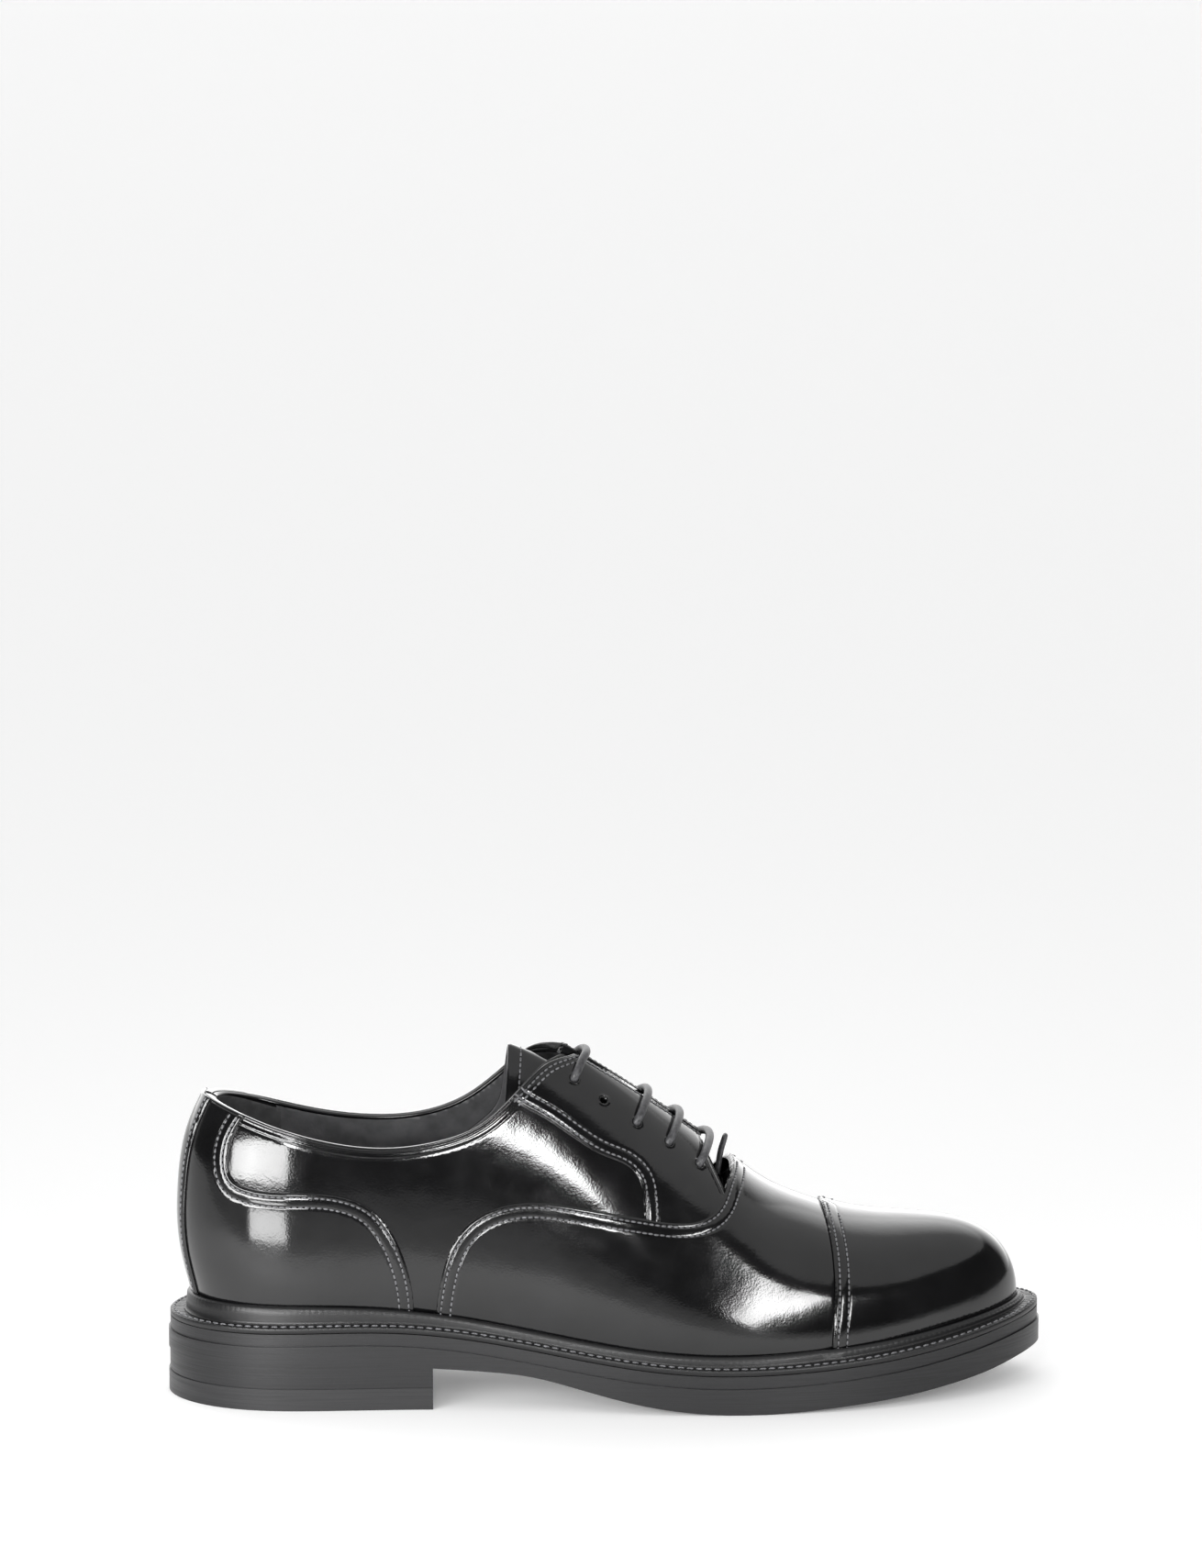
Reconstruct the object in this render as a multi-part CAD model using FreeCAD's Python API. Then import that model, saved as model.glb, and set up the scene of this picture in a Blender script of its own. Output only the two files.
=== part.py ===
"""A right cap-toe oxford shoe, built of its separate pieces.

Units are mm. +X runs from heel to toe, +Y to the inner (medial) side, +Z up.
The origin is on the ground, at the middle of the outsole's length and width.
"""
import FreeCAD
import Part
import math
import os
from bisect import bisect_right

V = FreeCAD.Vector
os.makedirs("parts", exist_ok=True)

# ---------------------------------------------------------------- thicknesses
LINING = 1.0            # calf lining
STIFFENER = 1.0         # counter, puff and interlinings
QUARTER = 1.2           # upper leather of the quarters
OVERLAY = 1.1           # facings, foxings and vamp, laid on the quarters
TONGUE_GAP = 4.0        # room for the lace between quarter lining and tongue
TONGUE = 1.3
TONGUE_LINING = 1.0
WELT = 2.2
MIDSOLE = 4.4
CORK = 1.8
INSOLE = 2.8
SOCK = 0.9
TOP_LIFT = 7.5
LACE_RADIUS = 1.3
LACE_ROOM = 0.1         # the lace's neighbours stand this far off it
CEMENT = 0.12           # cement line between midsole and upper
EYELET_BORE = 1.45
EYELET_WALL_ROOM = 0.1  # play between an eyelet and its punched hole
EYELET_SEAT = 0.6      # an eyelet's flange lies this far under the lining
EYELET_FLANGE_THICKNESS = 0.4
EYELET_REACH = 1.2      # the lace is kept out of the metal this far round the flange
EYELET_TOUCH = 0.05     # and this much below the flange and inside the bore
TACK_RADIUS = 0.75
EYELET_OUTER = 1.9
EYELET_FLANGE = 3.0
AGLET_RADIUS = 1.6
AGLET_LENGTH = 14.0

# depth of each skin, outwards from the outer face of the lining
D_LINING = 0.0
D_STIFF = D_LINING + STIFFENER
D_QUARTER = D_STIFF + QUARTER
D_VAMP = D_QUARTER + OVERLAY
D_FACING = D_QUARTER + 0.8
D_CAP = D_VAMP + OVERLAY
D_TONGUE = D_LINING - LINING - TONGUE_GAP
D_LACE_OVER = D_FACING + LACE_RADIUS + 0.6
D_LACE_UNDER = D_LINING - LINING - LACE_RADIUS - 0.7

# ---------------------------------------------------------------- sole, in plan
SOLE = [(-152, 1.5), (-146, -17), (-128, -31.5), (-98, -36), (-60, -36.5), (-25, -41.5),
        (8, -49), (40, -52), (74, -49.5), (104, -41), (130, -26.5), (147, -9), (152, 6),
        (147.5, 20), (133, 34.5), (106, 47), (78, 51.9), (48, 50.5), (14, 43), (-20, 37),
        (-60, 35.5), (-98, 36.5), (-128, 33.5), (-146, 20)]
HEEL_BREAST = -62.0
SOLE_STEP = 0.6         # welt and midsole stand back this far from the outsole edge

# heights along the shoe: (x, value)
RIM = [(-152, 28.6), (-110, 28.9), (-72, 28.6), (-46, 25.8), (-20, 21.6), (5, 17.9), (30, 15.8),
       (68, 16.4), (105, 19.6), (136, 24.4), (152, 27.2)]
TREAD = [(-152, 15.2), (-100, 15.4), (-60, 14.2), (-46, 13.4), (-31, 12.2), (-18, 9.6), (-6, 6.4),
         (7, 3.6), (20, 1.4), (34, 0.3), (48, 0.0), (68, 1.0), (95, 3.1), (122, 6.6), (139, 9.8),
         (152, 13)]
BEAD = [(-152, 6.4), (-110, 6.0), (-60, 3.9), (0, 3.4), (80, 3.2), (152, 2.6)]

# ---------------------------------------------------------------- upper
MARGIN = [(-152, 4.3), (-60, 5.7), (60, 6.6), (85, 8.4), (152, 8.9)]
RIDGE = [(143.1, 23.3), (142.8, 33), (140.2, 41), (135.2, 47.4), (127.4, 52), (114.6, 54.9),
         (98, 56.4), (83, 58.9), (70, 63.2), (58, 68.6), (48, 75.6), (34, 87), (16, 100.5),
         (-2, 113), (-22, 124.5), (-50, 133), (-85, 136), (-120, 137), (-152, 137)]
BACK = [(20, -139.2), (29, -141.8), (38.7, -144.2), (48.7, -146.5), (60, -147.7), (72, -147.4),
        (85, -145.8), (92, -144), (98.5, -141.4), (105, -138.2), (136, -123.2)]
LEAN = [(-150, 0), (-40, 0), (0, 1.5), (50, 4), (90, 5), (120, 4), (145, 0)]
FULLNESS = [(-150, 0), (-20, 0), (60, 0.04), (110, 0.10), (145, 0.12)]
TUCK = [(-150, 3), (-60, 3.5), (0, 3), (60, 2.5), (130, 2), (145, 1)]
BACK_CURVE_START = -60.0

# panel edges seen from the side: (x, z)
TOPLINE_OUTER = [(-160, 108), (-141, 104.6), (-126, 99.5), (-99, 91.1), (-78, 88.4), (-60, 90.4),
                 (-44.8, 96.2), (-36.8, 102.5), (-28, 111), (-20.5, 116.3), (-14, 117.6), (-7, 118.5),
                 (0, 121)]
TOPLINE_INNER = [(-160, 108), (-141, 104.6), (-126, 100.6), (-99, 93.6), (-80, 91.5), (-64, 92.6),
                 (-48, 98.6), (-39, 105.6), (-31, 113.2), (-24.5, 118), (-18, 119.6), (-11, 119.8),
                 (0, 121)]
VAMP_EDGE = [(-61.5, 12), (-60.6, 31.5), (-58.9, 43), (-54.9, 55.3), (-47, 64.6), (-35.1, 69.6),
             (-10.4, 68.8), (10.2, 65.5), (22.9, 63.8), (31, 64.6), (36.6, 68), (40.2, 73.4),
             (44.4, 79.4), (52, 92)]
FACING_EDGE = [(-38, 110), (-33.3, 104.6), (-24.9, 99.7), (-11.9, 91.2), (-2.5, 86), (5.3, 82.6),
               (8.9, 78.6), (10.1, 73), (10.2, 60)]
FOXING_EDGE = [(-121, 107), (-125.8, 99.5), (-130.3, 91.6), (-131.8, 83.5), (-130, 78),
               (-124, 75.2), (-105.4, 74), (-93.2, 72.6), (-83.5, 68.6), (-76, 60.6), (-71.4, 50.4),
               (-69, 41.1), (-68, 30), (-67.8, 8)]
FRONT_EDGE = [(26, 98), (32.4, 87.4), (34.9, 80.6), (37.9, 74.1), (42, 64)]
CAP_EDGE = [(74.2, 8), (74.8, 24), (75.7, 38), (76, 50), (75.2, 60), (74, 72)]
COUNTER_EDGE = [(-118, 94), (-96, 84), (-78, 62), (-66, 40), (-62, 10)]
LACE_GAP = [(-20, 5.4), (0, 4.8), (20, 4.0), (40, 3.0)]
BACKSTAY_HALF = 9.0
UNDERLAP = 8.0
EYELETS = [(-12.4, 66), (-2.4, 64), (8.9, 63), (19.9, 63), (30.4, 62)]

# tongue
TONGUE_TOP = [(-46, 88), (-37.5, 97), (-35.6, 106), (-34.6, 116), (-33.4, 130)]
TONGUE_HALF_WIDTH = [(-40, 24), (0, 21), (41, 14)]
TONGUE_FRONT = 41.0


# ================================================================ curves
def second_derivatives(t, y):
    """Curvature values of a natural cubic through (t, y)."""
    n = len(t)
    gap = [t[i + 1] - t[i] for i in range(n - 1)]
    c = [0.0] * n
    d = [0.0] * n
    m = [0.0] * n
    for i in range(1, n - 1):
        low = gap[i - 1] / 6
        slope = (y[i + 1] - y[i]) / gap[i] - (y[i] - y[i - 1]) / gap[i - 1]
        pivot = (gap[i - 1] + gap[i]) / 3 - low * c[i - 1]
        c[i] = gap[i] / 6 / pivot
        d[i] = (slope - low * d[i - 1]) / pivot
    for i in range(n - 2, 0, -1):
        m[i] = d[i] - c[i] * m[i + 1]
    return m


def cubic(t, y, m, at):
    """Value of the natural cubic at one place."""
    i = min(max(bisect_right(t, at) - 1, 0), len(t) - 2)
    gap = t[i + 1] - t[i]
    a = (t[i + 1] - at) / gap
    b = (at - t[i]) / gap
    bend = ((a ** 3 - a) * m[i] + (b ** 3 - b) * m[i + 1]) * gap * gap / 6
    return a * y[i] + b * y[i + 1] + bend


def graph(points):
    """A smooth function through (x, value) points, level beyond its ends."""
    t = [float(p[0]) for p in points]
    y = [float(p[1]) for p in points]
    m = second_derivatives(t, y)
    return lambda x: cubic(t, y, m, min(max(x, t[0]), t[-1]))


class Path:
    """A smooth plane curve through points, measured along its chords."""

    def __init__(self, points, closed=False):
        lap = 5 if closed else 0
        ring = list(points)
        if closed:
            ring = ring[-lap:] + ring + ring[:lap + 1]
        self.t = [0.0]
        for a, b in zip(ring, ring[1:]):
            self.t.append(self.t[-1] + math.dist(a, b))
        self.axes = []
        for k in range(2):
            y = [float(p[k]) for p in ring]
            self.axes.append((y, second_derivatives(self.t, y)))
        self.start = self.t[lap]
        self.end = self.t[lap + len(points)] if closed else self.t[-1]

    def at(self, t):
        return [cubic(self.t, y, m, t) for y, m in self.axes]

    def shifted(self, t, distance):
        """Point moved to the left of the direction of travel."""
        x, y = self.at(t)
        x2, y2 = self.at(t + 0.01)
        run = math.hypot(x2 - x, y2 - y)
        return x - (y2 - y) / run * distance, y + (x2 - x) / run * distance


def solve(f, lo, hi):
    """Place between lo and hi where f changes sign."""
    positive = f(lo) > 0
    for _ in range(50):
        mid = (lo + hi) / 2
        if (f(mid) > 0) == positive:
            lo = mid
        else:
            hi = mid
    return (lo + hi) / 2


rim = graph(RIM)
tread = graph(TREAD)
bead = graph(BEAD)
margin = graph(MARGIN)
back = graph(BACK)
lean = graph(LEAN)
fullness = graph(FULLNESS)
tuck = graph(TUCK)
lace_gap = graph(LACE_GAP)
tongue_half = graph(TONGUE_HALF_WIDTH)
sole = Path(SOLE, closed=True)
ridge = Path(RIDGE)


def feather(x):
    """Height where the upper meets the midsole."""
    return rim(x) - WELT


# ================================================================ the last
def upper_outline(t, depth):
    """Plan outline of the upper at a skin depth, t along the sole outline."""
    x = sole.at(t)[0]
    return sole.shifted(t, margin(x) - (depth - D_VAMP))


def extreme(sign, depth):
    """Sole parameter where the upper outline reaches furthest back or front."""
    span = sole.end - sole.start
    step = span / 360
    best = max(range(360), key=lambda i: sign * upper_outline(sole.start + i * step, depth)[0])
    t = sole.start + best * step
    for _ in range(30):
        t = max((t - step, t, t + step), key=lambda q: sign * upper_outline(q, depth)[0])
        step /= 2
    return t


class Last:
    """The foot form at one depth: sections from heel to toe, each an arch."""

    def __init__(self, depth):
        self.depth = depth
        self.grow = depth - D_VAMP
        self.t_back = extreme(-1, depth)
        self.t_tip = extreme(1, depth)
        if self.t_back > self.t_tip:
            self.t_back -= sole.end - sole.start
        self.t_round = self.t_back + sole.end - sole.start
        self.x_back = upper_outline(self.t_back, depth)[0]
        self.x_tip = upper_outline(self.t_tip, depth)[0]

    def ridge_height(self, x):
        t = solve(lambda q: ridge.shifted(q, -self.grow)[0] - x, -3.0, ridge.end)
        return ridge.shifted(t, -self.grow)[1]

    def section(self, x):
        """Sizes of the arch that stands at x on the plan outline."""
        off = self.depth
        if x <= self.x_back + 1e-6:
            lateral = medial = upper_outline(self.t_back, off)[1]
        elif x >= self.x_tip - 1e-6:
            lateral = medial = upper_outline(self.t_tip, off)[1]
        else:
            t = solve(lambda q: upper_outline(q, off)[0] - x, self.t_back, self.t_tip)
            lateral = upper_outline(t, off)[1]
            t = solve(lambda q: upper_outline(q, off)[0] - x, self.t_tip, self.t_round)
            medial = upper_outline(t, off)[1]
        foot = feather(x)
        height = max(self.ridge_height(x) - foot, 0.0) if x < self.x_tip - 1e-6 else 0.0
        return {"x": x, "mid": (lateral + medial) / 2, "half": (medial - lateral) / 2,
                "foot": foot, "height": height}

    def on(self, section, angle):
        """Point on the arch: 0 outer feather edge, 90 ridge, 180 inner feather edge."""
        x = section["x"]
        half = section["half"]
        c = math.cos(math.radians(angle))
        s = math.sin(math.radians(angle))
        rise = s * (1 + fullness(x) * c * c)
        z = section["foot"] + section["height"] * rise
        inward = tuck(x) * (1 - s) ** 4 * min(half / 30, 1.0)
        y = section["mid"] + lean(x) * rise * rise - half * c * (1 + fullness(x) * s * s)
        y += inward if c > 0 else -inward
        near = max(0.0, (BACK_CURVE_START - x) / (BACK_CURVE_START - self.x_back))
        heel_shift = back(z) - self.grow - self.x_back if near > 0 else 0.0
        return V(x + heel_shift * near ** 2, y, z)

    def point(self, x, angle):
        return self.on(self.section(x), angle)


ANGLES = [0, 4, 9, 15, 22, 30, 39, 48, 57, 66, 74, 82, 90]


def stations(last, heel=9, middle=22, toe=10):
    """Section places, closer together towards both ends."""
    a, b = -100.0, 88.0
    xs = [last.x_back + (a - last.x_back) * (1 - math.cos(math.pi / 2 * i / heel))
          for i in range(heel)]
    xs += [a + (b - a) * i / middle for i in range(middle)]
    xs += [b + (last.x_tip - b) * math.sin(math.pi / 2 * i / toe) for i in range(toe + 1)]
    return xs


def spline_poles(points):
    """Poles, knots and multiplicities of an evenly timed curve through points."""
    curve = Part.BSplineCurve()
    curve.interpolate(Points=points, Parameters=[float(i) for i in range(len(points))])
    return curve.getPoles(), curve.getKnots(), curve.getMultiplicities()


def smooth_surface(rows):
    """Surface through a grid of points; the last row may be a single point."""
    across = []
    for row in rows:
        if (row[0] - row[-1]).Length < 1e-9:
            across.append([row[0]] * len(across[0]))
        else:
            poles, v_knots, v_mults = spline_poles(row)
            across.append(poles)
    columns = []
    for column in zip(*across):
        poles, u_knots, u_mults = spline_poles(list(column))
        columns.append(poles)
    surface = Part.BSplineSurface()
    surface.buildFromPolesMultsKnots([list(r) for r in zip(*columns)], u_mults, v_mults,
                                     u_knots, v_knots, False, False, 3, 3)
    return surface


def skins(depth):
    """The two halves of one skin, outer side of the foot first."""
    last = Last(depth)
    sections = [last.section(x) for x in stations(last)]
    halves = []
    for turn in (1, -1):
        rows = [[last.on(s, 90 - turn * (90 - a)) for a in ANGLES] for s in sections]
        halves.append(smooth_surface(rows))
    return halves


SKINS = {}


def skin(depth):
    if depth not in SKINS:
        SKINS[depth] = skins(depth)
    return SKINS[depth]


def closed_solid(faces):
    shell = Part.makeShell(faces)
    shell.sewShape()
    solid = Part.makeSolid(shell)
    solid.fix(1e-4, 1e-4, 1e-3)
    if solid.Volume < 0:
        solid.reverse()
    return solid


def last_solid(depth):
    """Closed solid inside one skin of the last."""
    halves = skin(depth)
    feet = [half.vIso(0.0).toShape() for half in halves]
    faces = [half.toShape() for half in halves]
    return closed_solid(faces + [Part.makeRuledSurface(feet[0], feet[1])])


def layer(inner, outer):
    """Solid sheet between two skins, over the whole last."""
    faces = []
    for low, high in zip(skin(inner), skin(outer)):
        faces += [low.toShape(), high.toShape()]
        faces.append(Part.makeRuledSurface(low.vIso(0.0).toShape(), high.vIso(0.0).toShape()))
    return closed_solid(faces)


# ================================================================ cutting blocks
FLOOR = -10.0
FAR = 175.0


def closed_face(curves):
    """Flat face whose rim runs along smooth curves joined by straight lines."""
    edges = []
    for points, following in zip(curves, curves[1:] + curves[:1]):
        if len(points) > 1:
            curve = Part.BSplineCurve()
            curve.interpolate(points)
            edges.append(curve.toShape())
        edges.append(Part.LineSegment(points[-1], following[0]).toShape())
    return Part.Face(Part.Wire(edges))


def side_block(edge, corners, width=160.0):
    """Block across the shoe: a smooth side-view edge closed by straight lines."""
    curves = [[V(x, -width / 2, z) for x, z in edge]]
    curves += [[V(x, -width / 2, z)] for x, z in corners]
    return closed_face(curves).extrude(V(0, width, 0))


def band_block(low, high, x0=-175.0, x1=175.0):
    """Block across the shoe between two heights that vary along it."""
    xs = [x0 + (x1 - x0) * i / 24 for i in range(25)]
    lower = [V(x, -80, low(x)) for x in xs]
    upper = [V(x, -80, high(x)) for x in reversed(xs)]
    return closed_face([lower, upper]).extrude(V(0, 160, 0))


def plan_block(inset, z0=-5.0, z1=60.0, count=96):
    """Upright block over the sole outline, moved in by a distance."""
    span = sole.end - sole.start
    points = []
    for i in range(count):
        x, y = sole.shifted(sole.start + span * i / count, inset)
        points.append(V(x, y, z0))
    curve = Part.BSplineCurve()
    curve.interpolate(Points=points, PeriodicFlag=True)
    return Part.Face(Part.Wire([curve.toShape()])).extrude(V(0, 0, z1 - z0))


def ridge_y(x):
    """Sideways place of the ridge line above x."""
    last = Last(D_VAMP)
    return last.point(min(max(x, last.x_back), last.x_tip), 90).y


def strip_block(low, high, x0, x1, count=14):
    """Upright block between two sideways distances from the ridge line."""
    xs = [x0 + (x1 - x0) * i / count for i in range(count + 1)]
    middle = [ridge_y(x) for x in xs]
    near = [V(x, m + low(x), FLOOR) for x, m in zip(xs, middle)]
    far = [V(x, m + high(x), FLOOR) for x, m in zip(xs, middle)]
    far.reverse()
    return closed_face([near, far]).extrude(V(0, 0, 170))


def offset_edge(edge, distance):
    """Side-view edge moved to its right, towards the toe and the ground."""
    path = Path(edge)
    count = len(edge) * 2
    return [path.shifted(path.end * i / count, -distance) for i in range(count + 1)]


under_topline = {
    "outer": side_block(TOPLINE_OUTER, [(FAR, 121), (FAR, FLOOR), (-160, FLOOR)]),
    "inner": side_block(TOPLINE_INNER, [(FAR, 121), (FAR, FLOOR), (-160, FLOOR)]),
}


def vamp_block(inside=0.0):
    edge = VAMP_EDGE if inside == 0 else offset_edge(VAMP_EDGE, inside)
    return side_block(edge, [(FAR, edge[-1][1]), (FAR, FLOOR), (edge[0][0], FLOOR)])


def cap_block(inside=0.0):
    edge = [(x + inside, z) for x, z in CAP_EDGE]
    return side_block(edge, [(FAR, 72), (FAR, 8)])


foxing_block = side_block(FOXING_EDGE, [(-FAR, 8), (-FAR, 107)])
facing_block = side_block(FACING_EDGE, [(70, 60), (70, 130), (-38, 130)])
front_block = side_block(FRONT_EDGE, [(90, 64), (90, 98)])
counter_block = side_block(COUNTER_EDGE, [(-FAR, 10), (-FAR, 94)])
gap_block = strip_block(lambda x: -lace_gap(x), lace_gap, -34.0, 60.0)
half_block = {
    "outer": strip_block(lambda x: -90.0, lambda x: 0.0, -FAR, FAR, 40),
    "inner": strip_block(lambda x: 0.0, lambda x: 90.0, -FAR, FAR, 40),
}

pieces = {}

# ================================================================ bottom
split = lambda x: rim(x) - WELT - MIDSOLE
heel_limit = Part.makeBox(120, 160, 60, V(HEEL_BREAST - 120, -80, TOP_LIFT))
lift_limit = Part.makeBox(120, 160, TOP_LIFT, V(HEEL_BREAST - 120, -80, 0))

pieces["outsole"] = plan_block(0.0).common(band_block(tread, split))
pieces["midsole"] = plan_block(SOLE_STEP).common(band_block(split, lambda x: feather(x) - CEMENT))
heel_stack = plan_block(0.4).common(heel_limit)
pieces["heel_block"] = heel_stack.common(band_block(lambda x: 0.0, tread))
pieces["top_lift"] = plan_block(0.0).common(lift_limit)

# five pins hold the top lift and heel block to the outsole
NAILS = [(-134, 1), (-118, -20), (-118, 21), (-84, -22), (-84, 21)]
pins = [Part.makeCylinder(1.2, 15.0, V(x, y, 1.5)) for x, y in NAILS]
pieces["heel_nails"] = Part.makeCompound(pins)
for name in ("top_lift", "heel_block", "outsole"):
    pieces[name] = pieces[name].cut(pieces["heel_nails"])

cavity = last_solid(D_LINING - LINING)
cork_top = lambda x: feather(x) + CORK
insole_top = lambda x: cork_top(x) + INSOLE
sock_top = lambda x: insole_top(x) + SOCK
cork = cavity.common(band_block(lambda x: feather(x) - 3, cork_top))
shank_bed = Part.makeBox(118, 15, 80, V(-104, -7.5, 0))
shank_low = lambda x: feather(x) + 0.2
shank_high = lambda x: feather(x) + 1.6
pieces["shank"] = shank_bed.common(band_block(shank_low, shank_high))
pieces["cork_filler"] = cork.cut(pieces["shank"])
pieces["insole"] = cavity.common(band_block(cork_top, insole_top))
pieces["sock_liner"] = cavity.common(band_block(insole_top, sock_top))


crest = lambda x: rim(x) + bead(x)


def welt_rings(count=120):
    """Closed outlines of the storm welt, from its outer foot round to its inner foot."""
    lasts = [Last(D_VAMP), Last(D_CAP)]
    plain = lasts[0]
    span = plain.t_round - plain.t_back
    rings = [[] for _ in range(12)]

    def against(last, t, share, height, inner_side):
        """Point of one skin at a height, sections drawn back towards the toe's front."""
        x_in = upper_outline(t, last.depth)[0]
        front = solve(lambda x: last.ridge_height(x) - crest(x), 125.0, last.x_tip - 0.01)
        near_toe = max(0.0, (x_in - 88.0) / (last.x_tip - 88.0))
        section = last.section(x_in - (last.x_tip - front) * share * near_toe ** 4)
        if share == 0:
            return last.on(section, 180 if inner_side else 0)
        angle = solve(lambda a: last.on(section, a).z - height, 0.0, 90.0)
        return last.on(section, 180 - angle if inner_side else angle)

    def on_upper(t, share, height, inner_side):
        """Point of the upper's outer face, which steps out at the toe cap."""
        x_in = upper_outline(t, D_VAMP)[0]
        step = min(max((x_in - 71.0) / 6.0, 0.0), 1.0)
        a, b = [against(last, t, share, height, inner_side) for last in lasts]
        return a * (1 - step) + b * step

    for i in range(count):
        t = plain.t_back + span * i / count
        inner_side = t > plain.t_tip
        x, y = sole.shifted(t, SOLE_STEP)
        top = rim(x)
        high = crest(upper_outline(t, D_VAMP)[0])
        foot = on_upper(t, 0.0, 0.0, inner_side)
        contact = on_upper(t, 1.0, high - 0.2, inner_side)
        half_way = on_upper(t, 0.33, (high + foot.z) / 2, inner_side)
        out = V(x - contact.x, y - contact.y, 0)
        room = out.Length
        out.normalize()
        base = V(contact.x, contact.y, 0)
        steps = [(room, foot.z), (room, top - 0.6), (room - 0.6, top), (3.9, top),
                 (3.3, top - 0.6), (2.75, top - 0.3), (2.6, top + 0.45 * (high - top)),
                 (1.9, high - 0.5), (0.9, high)]
        profile = [base + out * r + V(0, 0, z) for r, z in steps]
        for ring, point in zip(rings, profile + [contact, half_way, foot]):
            ring.append(point)
    return rings


def ring_solid(rings):
    edges = []
    for points in rings:
        curve = Part.BSplineCurve()
        times = [float(i) for i in range(len(points) + 1)]
        curve.interpolate(Points=points, PeriodicFlag=True, Parameters=times)
        edges.append(curve.toShape())
    faces = []
    for a, b in zip(edges, edges[1:] + edges[:1]):
        faces.append(Part.makeRuledSurface(a, b))
    return closed_solid(faces)


pieces["welt"] = ring_solid(welt_rings())

# ================================================================ upper
TIP = 12.0
sheet = {
    "lining": layer(D_LINING - LINING, D_LINING),
    "stiffener": layer(D_LINING, D_STIFF),
    "quarter": layer(D_STIFF, D_QUARTER),
    "facing": layer(D_QUARTER, D_FACING),
    "overlay": layer(D_QUARTER, D_VAMP),
    "vamp": layer(D_STIFF, D_VAMP),
}
for side, name in (("outer", "lateral"), ("inner", "medial")):
    limit = under_topline[side].common(half_block[side])
    quarter = sheet["quarter"].common(limit)
    quarter = quarter.cut(vamp_block(UNDERLAP)).cut(front_block).cut(gap_block)
    pieces["quarter_" + name] = quarter
    facing = sheet["facing"].common(facing_block).common(limit)
    pieces["facing_" + name] = facing.cut(vamp_block()).cut(front_block).cut(gap_block)
    foxing = sheet["overlay"].common(foxing_block).common(limit)
    pieces["foxing_" + name] = foxing
    stiff = sheet["stiffener"].common(limit)
    stiff = stiff.cut(vamp_block(4.0)).cut(front_block).cut(gap_block)
    pieces["quarter_interlining_" + name] = stiff.cut(counter_block)
    lining = sheet["lining"].common(limit)
    lining = lining.cut(vamp_block(4.0)).cut(front_block).cut(gap_block)
    grip_limit = Part.makeBox(60, 160, 160, V(-174, -80, 0))
    pieces["quarter_lining_" + name] = lining.cut(grip_limit)

pieces["heel_grip"] = sheet["lining"].common(grip_limit).common(under_topline["outer"])
pieces["heel_counter"] = sheet["stiffener"].common(counter_block).common(under_topline["outer"])
lined = vamp_block(4.0)
pieces["vamp_lining"] = sheet["lining"].common(lined)
pieces["toe_puff"] = layer(D_LINING, D_STIFF - 0.05).common(cap_block(4.0))
pieces["vamp_interlining"] = sheet["stiffener"].common(lined).cut(cap_block(4.0))
vamp = sheet["vamp"].common(vamp_block()).cut(cap_block(TIP))
pieces["vamp"] = vamp.cut(pieces["quarter_lateral"]).cut(pieces["quarter_medial"])
toe_cap = layer(D_STIFF, D_CAP).common(cap_block())
toe_cap = toe_cap.cut(sheet["vamp"].cut(cap_block(TIP)))
pieces["toe_cap"] = toe_cap.cut(pieces["welt"])
stay_limit = Part.makeBox(60, 2 * BACKSTAY_HALF, 160, V(-172, 1.5 - BACKSTAY_HALF, 0))
backstay = layer(D_VAMP, D_CAP).common(stay_limit).common(under_topline["outer"])
pieces["backstay"] = backstay.common(band_block(crest, lambda x: 150.0))


# ================================================================ tongue
tongue_limit = side_block(TONGUE_TOP, [(TONGUE_FRONT, 130), (TONGUE_FRONT, 50), (-46, 50)])
tongue_limit = tongue_limit.common(strip_block(lambda x: -tongue_half(x), tongue_half, -60.0, 60.0))
pieces["tongue"] = layer(D_TONGUE - TONGUE, D_TONGUE).common(tongue_limit)
under_tongue = layer(D_TONGUE - TONGUE - TONGUE_LINING, D_TONGUE - TONGUE)
pieces["tongue_lining"] = under_tongue.common(tongue_limit)

# ================================================================ lacing
def place(x, angle, depth):
    return Last(depth).point(x, angle)


def eyelet_axis(x, angle):
    """Point at the lining's inner face and the direction square to the leather."""
    along = place(x + 0.5, angle, D_FACING) - place(x - 0.5, angle, D_FACING)
    around = place(x, angle + 1, D_FACING) - place(x, angle - 1, D_FACING)
    out = along.cross(around)
    out.normalize()
    return place(x, angle, D_FACING) - out * (D_FACING - D_LINING + LINING), out


def eyelet_row(flip):
    """Blind eyelets of one side, the rods that pierce their holes, and rings the lace stays in."""
    eyelets = []
    rods = []
    rings = []
    depth = D_FACING - D_LINING + LINING
    below = EYELET_SEAT + EYELET_FLANGE_THICKNESS
    for x, angle in EYELETS:
        low, out = eyelet_axis(x, 180 - angle if flip else angle)
        foot = low - out * below
        barrel = Part.makeCylinder(EYELET_OUTER, depth + below, foot, out)
        barrel = barrel.fuse(Part.makeCylinder(EYELET_FLANGE, EYELET_FLANGE_THICKNESS, foot, out))
        bore = Part.makeCylinder(EYELET_BORE, depth + 4, low - out * 2, out)
        eyelets.append(barrel.cut(bore).removeSplitter())
        rods.append(Part.makeCylinder(EYELET_OUTER + EYELET_WALL_ROOM, depth + 6, low - out * 2, out))
        ring = Part.makeCylinder(
            EYELET_FLANGE + EYELET_REACH, depth + below + LACE_ROOM, foot - out * EYELET_TOUCH, out)
        rings.append(ring.cut(Part.makeCylinder(EYELET_BORE - EYELET_TOUCH, depth + 9, low - out * 4, out)))
    return Part.makeCompound(eyelets), Part.makeCompound(rods), rings


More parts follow.
